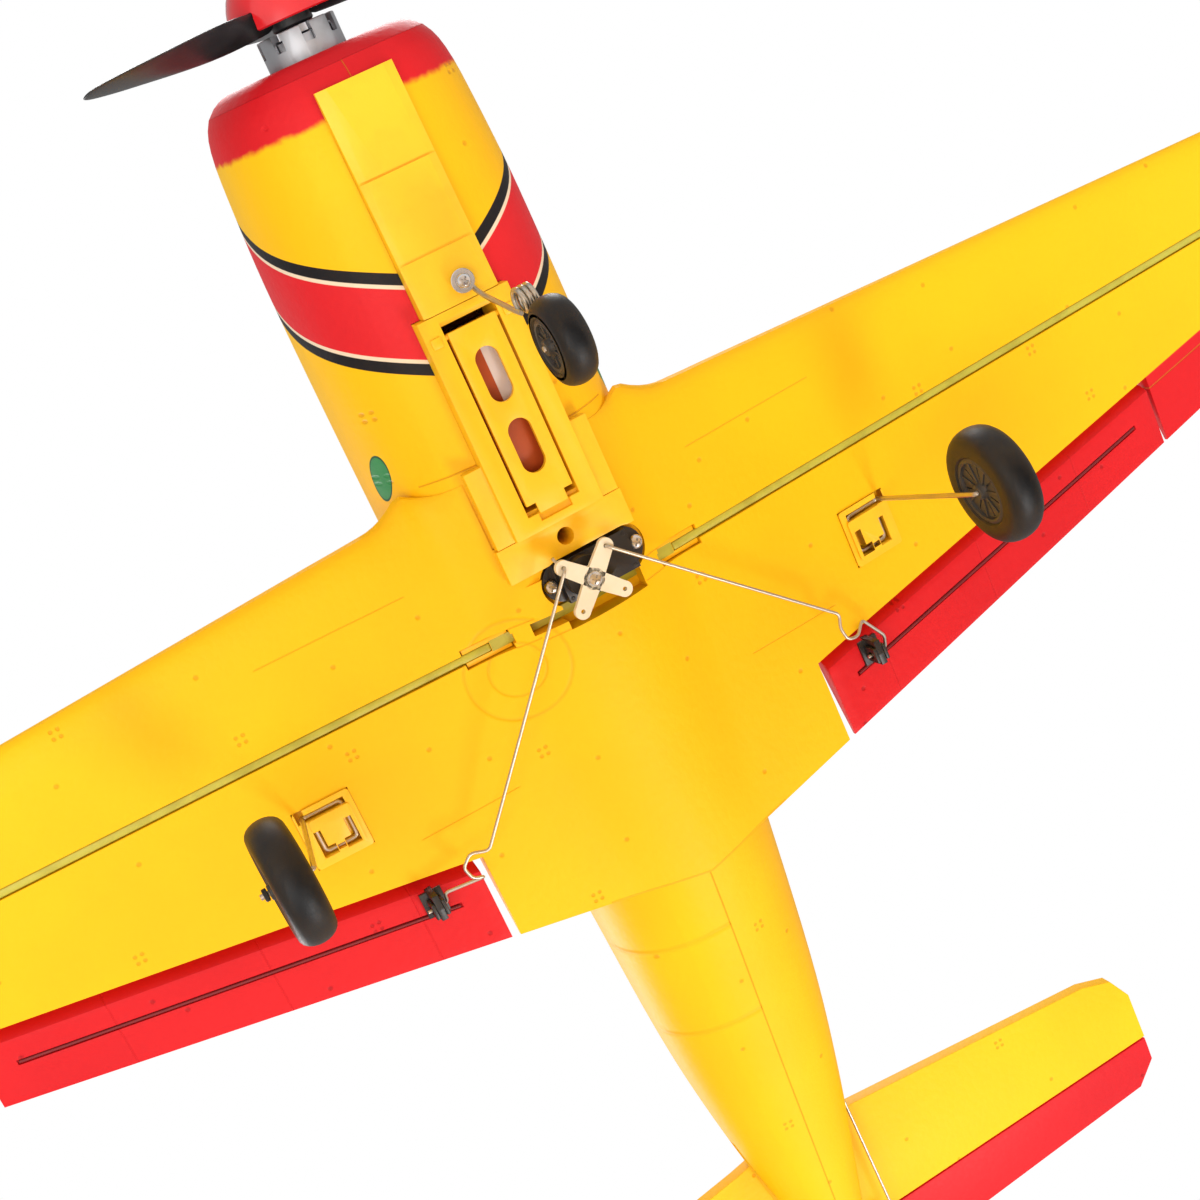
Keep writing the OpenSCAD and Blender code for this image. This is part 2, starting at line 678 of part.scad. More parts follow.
module servo_screws() {
    color("silver") for (s = [-1, 1]) translate([servo_x + s * ear_screw, servo_y, servo_ear_z]) {
        difference() {
            translate([0, 0, -1.5]) cylinder(d1 = 3, d2 = 4, h = 1.5 - fit);
            for (a = [0, 90]) rotate([0, 0, a]) translate([-1.1, -0.25, -2]) cube([2.2, 0.5, 1.1]);
        }
        translate([0, 0, -0.2]) cylinder(d = 2, h = 7);
    }
}

module servo_horn() {
    color("ivory") translate([0, servo_y, arm_z]) difference() {
        union() {
            cylinder(d = 6.6, h = 4.2);
            for (a = [45 : 90 : 315]) rotate([0, 0, a]) {
                translate([0, -2.3, 0]) cube([arm_reach, 4.6, 1.6]);
                translate([arm_reach, 0, 0]) cylinder(d = 4.6, h = 1.6);
            }
        }
        translate([0, 0, 1.8]) cylinder(d = 4.7, h = 5);
        translate([0, 0, -1]) cylinder(d = 2.3, h = 5);
        for (a = [45 : 90 : 315]) rotate([0, 0, a]) translate([arm_reach, 0, -1]) cylinder(d = 1.3, h = 4);
    }
}

module servo_horn_screw() {
    color("silver") translate([0, servo_y, arm_z]) difference() {
        union() {
            translate([0, 0, -1.4]) cylinder(d1 = 3.6, d2 = 4.4, h = 1.4 - fit);
            translate([0, 0, -0.2]) cylinder(d = 2, h = 1.7);
        }
        for (a = [0, 90]) rotate([0, 0, a]) translate([-1.3, -0.28, -2]) cube([2.6, 0.56, 1.2]);
    }
}

// ---------- aileron pushrods ----------

rod_r = 0.5;
arm_pin = arm_reach * cos(45);

// Out of the arm's hole, under the arm, straight to a bend that sets the length, and through the horn.
left_pin = [arm_pin, servo_y - arm_pin];
right_pin = [-arm_pin, servo_y - arm_pin];
left_rod = [[left_pin.x - 3.4, left_pin.y + 1.6, -13.2], [left_pin.x, left_pin.y, -13.3],
            [left_pin.x, left_pin.y, -17],
            [67.4, 41, -3.2], [66, 45.2, -3.2], [67, 49.6, -3], [70.6, 50.4, -2.6], [73.8, 46.6, -2],
            [80, 55.8, 1], [80, horn_y, horn_z], [73.6, horn_y, horn_z]];
right_rod = [[right_pin.x - 1.2, right_pin.y - 3.4, -13.2], [right_pin.x, right_pin.y, -13.3],
             [right_pin.x, right_pin.y, -17],
             [-57.6, 50.6, -3], [-63, 48.6, -2.8], [-66.4, 51.6, -2.6], [-65.2, 56, -2.2],
             [-61.6, 57.4, -1.8],
             [-73.8, 57, 1.6], [-73.8, horn_y, horn_z], [-80.2, horn_y, horn_z]];

module pushrod(path) { color("silver") wire(rounded(path, 0.75, 3), rod_r, 8); }

// ---------- cockpit ----------

function canopy_section(y, inset) =
    let (u = (y - 16) / 62, w = (19 - inset) * sqrt(max(0.02, 1 - pow(abs(u), 2.4))),
         h = (22 - inset) * pow(max(0.01, 1 - pow(abs(u), u < 0 ? 3.2 : 2)), 0.8))
    [for (a = [0 : 15 : 180]) [w * cos(a), y, 71.6 + h * sin(a)]];

function canopy_ring(y, inset, foot_z) =
    let (arch = canopy_section(y, inset))
    concat(arch, [for (x = [-1, 1]) [x * arch[0].x, y, foot_z]]);
canopy_stations = [-45, -41, -33, -20, 0, 20, 40, 56, 68, 75, 77];

module canopy() {
    color([0.2, 0.25, 0.3, 0.6]) difference() {
        loft([for (y = canopy_stations) canopy_ring(y, 0, 71)]);
        loft([for (y = canopy_stations) if (y > -42 && y < 74) canopy_ring(y, 1.2, 70)]);
        difference() { fuselage_form(-fit); translate([-16.8, -37.8, 60]) cube([33.6, 107.6, 40]); }
    }
}

module cockpit_deck() {
    color("dimgray") {
        translate([-16.6, -37.6, 63]) cube([33.2, 107.2, 2]);
        for (y = [-8, 34]) translate([-6, y, 65 - 0.01]) {
            cube([12, 11, 3]);
            translate([0, 9, 0]) cube([12, 3, 14]);
        }
        for (y = [-26, 18]) translate([-10, y, 65 - 0.01]) cube([20, 3, 7]);
    }
}

// ---------- tail ----------

tail_z = 54;
elevator_hinge_y = 266;
rudder_hinge_y = 283;
stab_half = 136;
stab_thick = 4.8;

module plate_xy(points, thick) { translate([0, 0, -thick / 2]) linear_extrude(thick) polygon(points); }
module plate_yz(points, thick) {
    rotate([90, 0, 90]) translate([0, 0, -thick / 2]) linear_extrude(thick) polygon(points);
}

module stabiliser() {
    color("gold") translate([0, 0, tail_z]) difference() {
        plate_xy([[0, 219.2], [8, 219.2], [24, 222], [120, 234], [131, 238], [stab_half, 247],
                  [stab_half, elevator_hinge_y - 0.5],
                  [0, elevator_hinge_y - 0.5], [-stab_half, elevator_hinge_y - 0.5], [-stab_half, 247],
                  [-131, 238], [-120, 234], [-24, 222], [-8, 219.2]], stab_thick);
        along_x(-26, elevator_hinge_y, 0) cylinder(d = 4, h = 52);
    }
}

module elevator() {
    color("gold") for (side = [-1, 1]) on_side(side) translate([0, 0, tail_z]) difference() {
        plate_xy([[15, elevator_hinge_y + 0.5], [stab_half, elevator_hinge_y + 0.5], [stab_half, 276],
                  [128, 284], [22, 290], [15, 284]], stab_thick - 0.8);
        // tapered to the trailing edge
        for (s = [-1, 1]) scale([1, 1, s]) hull() {
            translate([5, elevator_hinge_y + 3, stab_thick / 2 - 0.4]) cube([140, 0.1, 4]);
            translate([5, 291, 0.6]) cube([140, 0.1, 6]);
        }
        along_x(5, elevator_hinge_y, 0) cylinder(d = 1.6, h = 26);
        translate([14.9, elevator_hinge_y - 1, -0.8]) cube([10.2, 2.6, 1.6]);
        // bevelled to clear the stabiliser
        for (s = [-1, 1]) scale([1, 1, s]) translate([5, elevator_hinge_y + 0.2, 0.9])
            rotate([32, 0, 0]) translate([0, -5, 0]) cube([140, 5, 6]);
    }
}

module elevator_joiner() {
    color("silver") along_x(-25, elevator_hinge_y, tail_z) cylinder(d = 1.5, h = 50);
}

elevator_horn_x = 17.6;

module elevator_horn() {
    color("#1a1a1a") difference() {
        union() {
            translate([elevator_horn_x - 0.9, elevator_hinge_y - 1.4, tail_rod_z[1]]) cube([1.8, 8, 8.4]);
            translate([elevator_horn_x - 2.4, elevator_hinge_y + 2.4, tail_z - 3.1]) cube([6, 8, 1]);
            along_x(elevator_horn_x - 0.9, elevator_hinge_y, tail_rod_z[1]) cylinder(d = 5, h = 1.8);
        }
        along_x(elevator_horn_x - 3, elevator_hinge_y, tail_rod_z[1]) cylinder(d = 1.8, h = 8);
        translate([0, elevator_hinge_y - 4, tail_z - 2.05]) cube([40, 30, 8]);
        // clear of the stabiliser as the elevator drops
        translate([0, elevator_hinge_y - 6, tail_z - 5]) cube([40, 7.2, 8]);
    }
}

module fin() {
    color("gold") difference() {
        plate_yz([[210.2, 56], [210.2, 66], [232, 76], [252, 118], [260, 128], [270, 131],
                  [rudder_hinge_y - 0.5, 131], [rudder_hinge_y - 0.5, 56]], 4.4);
        difference() {
            fuselage_form(-fit, 175, tail_y);
            translate([-1.55, 210.1, tail_z + 2.6]) cube([3.1, 100, 30]);
        }
        translate([-10, 200, 0]) cube([20, 100, tail_z + 2.65]);
    }
}

module rudder() {
    color("red") difference() {
        plate_yz([[rudder_hinge_y + 0.5, 44], [rudder_hinge_y + 0.5, 131], [297, 131], [302, 124],
                  [305, 100], [305, 66], [296, 46]], 4);
        for (s = [-1, 1]) scale([s, 1, 1]) hull() {
            translate([1.95, rudder_hinge_y + 3, 30]) cube([4, 0.1, 120]);
            translate([0.6, 306, 30]) cube([6, 0.1, 120]);
        }
        for (s = [-1, 1]) scale([s, 1, 1]) translate([0.7, rudder_hinge_y + 0.2, 30])
            rotate([0, 0, -32]) translate([0, -5, 0]) cube([6, 5, 120]);
    }
}

rudder_horn_z = 49.5;

module rudder_horn() {
    color("#1a1a1a") difference() {
        union() {
            translate([-tail_reach, rudder_hinge_y - 0.8, rudder_horn_z - 0.9])
                cube([tail_reach - 2, 4.2, 1.8]);
            translate([-3, rudder_hinge_y + 3, rudder_horn_z - 3]) cube([1, 8, 6]);
            translate([-tail_reach, rudder_hinge_y, rudder_horn_z - 0.9]) cylinder(d = 4.4, h = 1.8);
        }
        translate([-tail_reach, rudder_hinge_y, rudder_horn_z - 3]) cylinder(d = 1.8, h = 8);
        translate([-2.1, rudder_hinge_y - 2, 40]) cube([8, 20, 20]);
        // clear of the fuselage's end as the rudder swings
        translate([-7.4, rudder_hinge_y - 6, 40]) cube([10.4, 7.2, 20]);
    }
}

// The tail servos stand side by side behind the receiver, arms upwards and outwards.
tail_servo_x = 11;
tail_servo_y = 26;
tail_servo_z = 38;
tail_reach = 9.6;          // the arms' and the horns' reach, the same so that each rod stays parallel
tail_rod_z = [50.6, tail_z - tail_reach];

module tail_servo(side) {
    color("#222226") on_side(side) translate([tail_servo_x, tail_servo_y, tail_servo_z])
        rotate([180, 0, 90]) servo_case();
}

module tail_servo_arm(side) {
    color("ivory") on_side(side) translate([tail_servo_x, tail_servo_y, tail_servo_z + 9]) difference() {
        union() {
            cylinder(d = 7, h = 2.6);
            translate([0, -2.2, 1]) cube([tail_reach, 4.4, 1.6]);
            translate([tail_reach, 0, 1]) cylinder(d = 4.8, h = 1.6);
        }
        translate([0, 0, -1]) cylinder(d = 4.7, h = 3.3);
        translate([tail_reach, 0, -1]) cylinder(d = 2.6, h = 5);
    }
}

module tail_pushrod(side, end, hook) {
    start = [side * (tail_servo_x + tail_reach), tail_servo_y, tail_rod_z[0]];
    color("silver") wire(rounded([start + [0, 0, -4.2], start, end, end + hook], 0.75, 3), rod_r, 8);
}

module elevator_pushrod() {
    tail_pushrod(1, [elevator_horn_x + 2.6, elevator_hinge_y, tail_rod_z[1]], [-4.6, 0, 0]);
}

module rudder_pushrod() {
    tail_pushrod(-1, [-tail_reach, rudder_hinge_y, rudder_horn_z - 2.6], [0, 0, 4.6]);
}

// ---------- the pieces ----------

placed() fuselage_half(1);  // fuselage_left
placed() fuselage_half(-1);  // fuselage_right
placed() cowl_ring();
placed() motor_mount();
placed() mount_screws();
placed() motor_base();
placed() motor_bell();
placed() propeller();
placed() spinner();
placed() prop_nut();
placed() speed_controller();
placed() receiver();
placed() battery_pack();
placed() hatch_frame();
placed() battery_hatch();
placed() belly_strip();
placed() nose_gear_screw();
placed() nose_leg();
placed() nose_tyre();
placed() nose_hub();
placed() gear_block(1);  // gear_block_left
placed() gear_block(-1);  // gear_block_right
placed() main_leg(1);  // main_leg_left
placed() main_leg(-1);  // main_leg_right
placed() wheel_collars();
placed() main_tyre(1);  // main_tyre_left
placed() main_tyre(-1);  // main_tyre_right
placed() main_hub(1);  // main_hub_left
placed() main_hub(-1);  // main_hub_right
placed() wing();
placed() wing_bolt_plate();
placed() spar(1);  // spar_left
placed() spar(-1);  // spar_right
placed() spar_joiner();
placed() aileron(1);  // aileron_left
placed() aileron(-1);  // aileron_right
placed() aileron_horn(1);  // aileron_horn_left
placed() aileron_horn(-1);  // aileron_horn_right
placed() aileron_servo();
placed() servo_screws();
placed() servo_horn();
placed() servo_horn_screw();
placed() pushrod(left_rod);  // pushrod_left
placed() pushrod(right_rod);  // pushrod_right
placed() cockpit_deck();
placed() canopy();
placed() stabiliser();
placed() elevator();
placed() elevator_joiner();
placed() elevator_horn();
placed() fin();
placed() rudder();
placed() rudder_horn();
placed() tail_servo(1);  // elevator_servo
placed() tail_servo(-1);  // rudder_servo
placed() tail_servo_arm(1);  // elevator_servo_arm
placed() tail_servo_arm(-1);  // rudder_servo_arm
placed() elevator_pushrod();
placed() rudder_pushrod();
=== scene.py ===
import json
import math

import bmesh
import bpy
from mathutils import Matrix, Vector


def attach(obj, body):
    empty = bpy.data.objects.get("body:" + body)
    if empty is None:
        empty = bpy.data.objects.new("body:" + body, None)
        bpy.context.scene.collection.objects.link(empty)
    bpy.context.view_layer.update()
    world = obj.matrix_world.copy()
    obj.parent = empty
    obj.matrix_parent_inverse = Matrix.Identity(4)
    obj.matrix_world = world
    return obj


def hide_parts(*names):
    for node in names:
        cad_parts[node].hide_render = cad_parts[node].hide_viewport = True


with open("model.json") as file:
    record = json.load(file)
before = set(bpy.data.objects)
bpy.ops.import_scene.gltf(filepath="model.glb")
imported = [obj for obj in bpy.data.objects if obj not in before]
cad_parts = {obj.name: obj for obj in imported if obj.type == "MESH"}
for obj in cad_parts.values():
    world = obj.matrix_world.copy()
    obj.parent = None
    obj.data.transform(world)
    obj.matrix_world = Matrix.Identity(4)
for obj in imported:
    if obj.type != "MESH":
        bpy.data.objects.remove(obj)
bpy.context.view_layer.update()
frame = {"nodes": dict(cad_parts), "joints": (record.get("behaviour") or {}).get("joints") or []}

# Pieces are modelled in millimetres about the spar's middle on the wing's underside, with the nose
# towards -Y and the port wing tip towards +X, and are then placed in the frame in metres.
JOINTS = {joint["name"]: joint for joint in frame["joints"]}
SERVO_AXIS = Vector((0, -8.8, -14))
ORIGIN = Vector(JOINTS["servo_horn_turn"]["pos_m"]) - SERVO_AXIS * 0.001
TO_FRAME = Matrix.Translation(ORIGIN) @ Matrix.Scale(0.001, 4)
SIDES = {"left": 1, "right": -1}


# ---- modelling ----

def leave():
    """Leaves edit mode."""
    bpy.ops.object.mode_set(mode="OBJECT")


def new_object(name, data):
    piece = bpy.data.objects.new(name, data)
    bpy.context.scene.collection.objects.link(piece)
    return piece


def bearing(degrees):
    """The cosine and sine of an angle in degrees."""
    angle = math.radians(degrees)
    return math.cos(angle), math.sin(angle)


def clear():
    if bpy.context.object and bpy.context.object.mode != "OBJECT":
        leave()
    bpy.ops.object.select_all(action="DESELECT")


def select(piece):
    clear()
    piece.select_set(True)
    bpy.context.view_layer.objects.active = piece
    return piece


def add(kind, name, **settings):
    """A primitive under its own name, left in edit mode with everything selected."""
    clear()
    getattr(bpy.ops.mesh, f"primitive_{kind}_add")(**settings)
    piece = bpy.context.object
    piece.name = piece.data.name = name
    bpy.ops.object.transform_apply(location=True, rotation=True, scale=True)
    bpy.ops.object.mode_set(mode="EDIT")
    bpy.ops.mesh.select_all(action="SELECT")
    return piece


def edit(piece):
    select(piece)
    bpy.ops.object.mode_set(mode="EDIT")
    bpy.ops.mesh.select_all(action="SELECT")


def pick(test):
    """In edit mode, selects the vertices whose place passes the test."""
    piece = bpy.context.object
    bpy.ops.mesh.select_mode(type="VERT")
    bpy.ops.mesh.select_all(action="DESELECT")
    mesh = bmesh.from_edit_mesh(piece.data)
    for vertex in mesh.verts:
        vertex.select_set(test(vertex.co))
    mesh.select_flush_mode()
    bmesh.update_edit_mesh(piece.data)


def modify(piece, kind, **settings):
    """Adds a modifier and applies it."""
    select(piece)
    modifier = piece.modifiers.new(kind, kind)
    for key, value in settings.items():
        setattr(modifier, key, value)
    bpy.ops.object.modifier_apply(modifier=modifier.name)
    return piece


def smooth(piece, angle=32):
    select(piece)
    bpy.ops.object.shade_smooth_by_angle(angle=math.radians(angle))
    return piece


def soften(piece, width, segments=2, angle=32):
    """Rounds the sharp edges."""
    modify(piece, "BEVEL", width=width, segments=segments, limit_method="ANGLE",
           angle_limit=math.radians(angle), harden_normals=False)
    return smooth(piece, angle)


def join(name, *pieces):
    clear()
    for piece in pieces:
        piece.select_set(True)
    bpy.context.view_layer.objects.active = pieces[0]
    if len(pieces) > 1:
        bpy.ops.object.join()
    pieces[0].name = pieces[0].data.name = name
    return pieces[0]


def cut(piece, *cutters, operation="DIFFERENCE"):
    """Cuts the cutters out of the piece one at a time and throws them away."""
    for cutter in cutters:
        modify(piece, "BOOLEAN", operation=operation, object=cutter, solver="EXACT")
        bpy.data.objects.remove(cutter)
    return piece


def turn(piece, degrees, axis, centre=(0, 0, 0)):
    centre = Matrix.Translation(Vector(centre))
    piece.data.transform(centre @ Matrix.Rotation(math.radians(degrees), 4, axis) @ centre.inverted())
    return piece


def move(piece, *offset):
    piece.data.transform(Matrix.Translation(Vector(offset)))
    return piece


def copy(piece, name):
    clear()
    return new_object(name, piece.data.copy())


def mirrored(piece, side):
    """The piece itself on the port side, turned into its mirror image on the starboard side."""
    if side < 0:
        piece.data.transform(Matrix.Scale(-1, 4, Vector((1, 0, 0))))
        edit(piece)
        bpy.ops.mesh.flip_normals()
        leave()
    return piece


def block(name, low, high, rounding=0.0, segments=2):
    """A box between two corners with rounded edges."""
    low, high = Vector(low), Vector(high)
    piece = add("cube", name, size=1)
    bpy.ops.transform.resize(value=high - low)
    bpy.ops.transform.translate(value=(low + high) / 2)
    if rounding:
        bpy.ops.mesh.bevel(offset=rounding, segments=segments, affect="EDGES")
    leave()
    return piece


def close_up():
    """Points every face outwards and leaves edit mode."""
    bpy.ops.mesh.select_all(action="SELECT")
    bpy.ops.mesh.normals_make_consistent(inside=False)
    leave()


def turned(name, profile, centre=(0, 0, 0), axis="Z", steps=64):
    """A closed profile of (radius, distance along the axis) spun round the axis."""
    piece = add("circle", name, vertices=len(profile), radius=1, fill_type="NOTHING")
    leave()
    for vertex, (radius, along) in zip(piece.data.vertices, profile):
        vertex.co = (radius, 0, along)
    edit(piece)
    bpy.ops.mesh.spin(steps=steps, angle=2 * math.pi, center=(0, 0, 0), axis=(0, 0, 1))
    bpy.ops.mesh.select_all(action="SELECT")
    bpy.ops.mesh.remove_doubles(threshold=0.002)
    bpy.ops.mesh.delete_loose()
    close_up()
    if axis == "X":
        turn(piece, 90, "Y")
    elif axis == "Y":
        turn(piece, -90, "X")
    return smooth(move(piece, *centre), 35)


def rod(name, radius, low, high, axis="Z", steps=32, rounding=0.0):
    """A round bar between two places on its axis; low is a point and high a distance."""
    r = rounding
    profile = [(0, 0), (radius - r, 0), (radius - 0.3 * r, 0.3 * r), (radius, r),
               (radius, high - r), (radius - 0.3 * r, high - 0.3 * r), (radius - r, high), (0, high)]
    if not r:
        profile = [(0, 0), (radius, 0), (radius, high), (0, high)]
    return turned(name, profile, low, axis, steps)


def skin(name, rows, closed=True, capped=True):
    """A skin through rows of points: a grid whose vertices are moved onto them, then closed up."""
    across, along = len(rows[0]), len(rows)
    piece = add("grid", name, x_subdivisions=across - 1, y_subdivisions=along - 1, size=1)
    leave()
    order = sorted(piece.data.vertices, key=lambda v: (round(v.co.y, 4), round(v.co.x, 4)))
    places = [point for row in rows for point in row]
    for vertex, place in zip(order, places, strict=True):
        vertex.co = place
    edit(piece)
    if closed:
        bpy.ops.mesh.remove_doubles(threshold=0.002)
    if capped:
        bpy.ops.mesh.select_mode(type="EDGE")
        bpy.ops.mesh.select_all(action="SELECT")
        bpy.ops.mesh.fill_holes(sides=0)
    close_up()
    return piece


def rounded(points, reach, steps=6):
    """The path with a smooth curve over that reach on each side of its corners."""
    points = [Vector(p) for p in points]
    path = [points[0]]
    for before, corner, after in zip(points, points[1:], points[2:]):
        start = corner + (before - corner).normalized() * min(reach, (before - corner).length * 0.45)
        end = corner + (after - corner).normalized() * min(reach, (after - corner).length * 0.45)
        for k in range(steps + 1):
            t = k / steps
            path.append((1 - t) ** 2 * start + 2 * t * (1 - t) * corner + t * t * end)
    return path + [points[-1]]


def wire(name, path, radius):
    """A round wire along a path of points."""
    clear()
    curve = bpy.data.curves.new(name, "CURVE")
    curve.dimensions = "3D"
    curve.bevel_depth = radius
    curve.bevel_resolution = 4
    curve.use_fill_caps = True
    spline = curve.splines.new("POLY")
    spline.points.add(len(path) - 1)
    for point, place in zip(spline.points, path):
        point.co = (*place, 1)
    select(new_object(name, curve))
    bpy.ops.object.convert(target="MESH")
    return smooth(bpy.context.object, 60)


def from_cad(node, name, rounding=0.0, segments=2, angle=32):
    """A copy of a CAD node's solid with its flat faces made whole and its edges rounded."""
    piece = new_object(name, frame["nodes"][node].data.copy())
    piece.data.transform(TO_FRAME.inverted())
    piece.data.materials.clear()
    edit(piece)
    bpy.ops.mesh.remove_doubles(threshold=0.004)
    bpy.ops.mesh.dissolve_limited(angle_limit=math.radians(0.6))
    leave()
    if rounding:
        modify(piece, "BEVEL", width=rounding, segments=segments, limit_method="ANGLE",
               angle_limit=math.radians(angle), use_clamp_overlap=True)
    return smooth(piece, angle)


def hand_over(piece, body, finish, *nodes):
    """Places the piece in the frame, gives it its finish's material and its body, and hides the CAD nodes
    that it stands for.
    """
    material, slot = finish
    piece.data.transform(TO_FRAME)
    piece.data.materials.clear()
    piece.data.materials.append(material)
    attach(piece, body)
    if nodes:
        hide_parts(*nodes)


def cad_piece(node, name, body, finish, rounding, segments=2):
    """A CAD node's own shape with its edges rounded."""
    hand_over(from_cad(node, name, rounding, segments), body, finish, node)


# ---- materials ----

def tint(red, green, blue):
    """A screen colour, 0 to 255, as the light it stands for."""
    def linear(value):
        value /= 255
        return value / 12.92 if value <= 0.04045 else ((value + 0.055) / 1.055) ** 2.4
    return (linear(red), linear(green), linear(blue), 1)


# how deep a finish's relief is, in metres
FOAM_BUMP, PLASTIC_BUMP, GLOSS_BUMP, METAL_BUMP = 0.0002, 0.0001, 0.00005, 0.00001


def combine(operation, swapped=False):
    """An operator that adds the Math node of that name; swapped puts the other value first."""
    def act(self, *other):
        return self.finish.math(operation, *((*other, self) if swapped else (self, *other)))
    return act


class Flow:
    """A number on its way through the nodes: each operation adds the Math node that does it."""

    def __init__(self, finish, socket):
        self.finish, self.socket = finish, socket

    __add__ = __radd__ = combine("ADD")
    __sub__, __rsub__ = combine("SUBTRACT"), combine("SUBTRACT", swapped=True)
    __mul__ = __rmul__ = combine("MULTIPLY")
    __truediv__, __rtruediv__ = combine("DIVIDE"), combine("DIVIDE", swapped=True)
    __pow__, __abs__ = combine("POWER"), combine("ABSOLUTE")


def add_node(tree, kind, settings=None, inputs=None):
    """A node with its settings, and with its inputs joined up or set."""
    node = tree.nodes.new(kind)
    for key, value in (settings or {}).items():
        setattr(node, key, value)
    for key, value in (inputs or {}).items():
        if isinstance(value, Flow):
            value = value.socket
        if isinstance(value, bpy.types.NodeSocket):
            tree.links.new(value, node.inputs[key])
        else:
            node.inputs[key].default_value = value
    return node


class Finish:
    """A material being mixed. Numbers that are the same all over are set on the shader itself."""

    def __init__(self, name, colour, roughness, **constants):
        self.material = bpy.data.materials.new(name)
        self.material.use_nodes = True
        self.tree = self.material.node_tree
        self.shader = self.tree.nodes["Principled BSDF"]
        self.shader.inputs["Base Color"].default_value = colour
        self.shader.inputs["Roughness"].default_value = roughness
        self.colour, self.roughness, self.height = colour, roughness, None
        for key, value in constants.items():
            self.shader.inputs[key.replace("_", " ")].default_value = value
        self.place = self.node("ShaderNodeTexCoord").outputs["Object"]
        split = self.node("ShaderNodeSeparateXYZ", {}, {0: self.place})
        self.x, self.y, self.z = (
            (Flow(self, split.outputs[k]) - ORIGIN[k]) * 1000 for k in range(3))

    def node(self, kind, settings=None, inputs=None):
        return add_node(self.tree, kind, settings, inputs)

    def math(self, operation, *values):
        node = self.node("ShaderNodeMath", {"operation": operation}, dict(enumerate(values)))
        return Flow(self, node.outputs[0])

    def least(self, first, *others):
        for other in others:
            first = self.math("MINIMUM", first, other)
        return first

    def most(self, first, *others):
        for other in others:
            first = self.math("MAXIMUM", first, other)
        return first

    def rise(self, value, low, high):
        """0 below low, 1 above high, and smooth between."""
        node = self.node("ShaderNodeMapRange", {"interpolation_type": "SMOOTHSTEP"},
                         {0: value, 1: low, 2: high})
        return Flow(self, node.outputs[0])

    def under(self, value, limit, soft=0.12):
        return 1 - self.rise(value, limit - soft, limit + soft)

    def line(self, value, at, width, soft=0.12):
        return self.under(abs(value - at), width / 2, soft)

    def blend(self, factor, first, second):
        inputs = {0: factor, 6: first, 7: second}
        return self.node("ShaderNodeMix", {"data_type": "RGBA"}, inputs).outputs[2]

    def noise(self, size, detail=2, rough=0.5, stretch=None):
        """Smooth noise with features of about that size in millimetres."""
        place = self.place
        if stretch:
            place = self.node("ShaderNodeVectorMath", {"operation": "MULTIPLY"},
                              {0: place, 1: stretch}).outputs[0]
        node = self.node("ShaderNodeTexNoise", {}, {
            "Vector": place, "Scale": 1000 / size, "Detail": detail, "Roughness": rough})
        return Flow(self, node.outputs[0])

    def cells(self, size, flat=False):
        settings = {"voronoi_dimensions": "2D" if flat else "3D"}
        node = self.node("ShaderNodeTexVoronoi", settings, {"Vector": self.place, "Scale": 1000 / size})
        return node

    def distance(self, across, along, centre, turned_by=0.0, squash=1.0):
        """Distance from a centre in a plane, or an ellipse's measure when squashed and turned."""
        c, s = bearing(turned_by)
        a, b = across - centre[0], along - centre[1]
        first, second = a * c + b * s, (b * c - a * s) * squash
        return self.math("SQRT", first * first + second * second)

    def done(self, bump=PLASTIC_BUMP):
        if isinstance(self.colour, bpy.types.NodeSocket):
            self.tree.links.new(self.colour, self.shader.inputs["Base Color"])
        if isinstance(self.roughness, Flow):
            self.tree.links.new(self.roughness.socket, self.shader.inputs["Roughness"])
        if self.height is not None:
            node = self.node("ShaderNodeBump", {}, {"Height": self.height, "Distance": bump, "Strength": 1.0})
            self.tree.links.new(node.outputs[0], self.shader.inputs["Normal"])
        return self.material


YELLOW, YELLOW_DEEP = tint(250, 194, 4), tint(247, 181, 0)
YELLOW_SEAM = tint(205, 118, 8)
RED, RED_DEEP, RED_SEAM = tint(214, 22, 30), tint(196, 14, 26), tint(120, 10, 18)
LIME, LIME_DEEP = tint(186, 182, 62), tint(150, 140, 30)
CREAM, INK, TRIM_RED = tint(236, 216, 188), tint(24, 20, 22), tint(218, 30, 38)


def moulded_foam(name, light, deep, seam):
    """Painted moulded foam: faint beads, a slow drift of colour, pips and four-dot mould marks."""
    foam = Finish(name, light, 0.5, Specular_IOR_Level=0.22)
    drift = foam.rise(foam.noise(70, 3), 0.35, 0.7)
    speck = foam.noise(1.1, 3)
    beads = Flow(foam, foam.cells(2.6).outputs[0]) * 2.6
    mark_cell = foam.cells(58, flat=True)
    mark_place = foam.node("ShaderNodeSeparateXYZ", {}, {0: mark_cell.outputs["Position"]})
    across = abs(foam.x - (Flow(foam, mark_place.outputs[0]) - ORIGIN[0]) * 1000)
    along = abs(foam.y - (Flow(foam, mark_place.outputs[1]) - ORIGIN[1]) * 1000)
    dots = foam.under(foam.distance(across, along, (1.05, 1.05)), 0.55, 0.25)
    pips = foam.under(Flow(foam, foam.cells(33, flat=True).outputs[0]) * 33, 0.65, 0.35)
    marks = foam.most(dots, pips)
    foam.colour = foam.blend(drift * 0.55, light, deep)
    foam.colour = foam.blend(marks * 0.45, foam.colour, seam)
    foam.roughness = 0.44 + speck * 0.14
    foam.height = speck * 0.22 - beads * 0.12 - marks * 0.9
    return foam


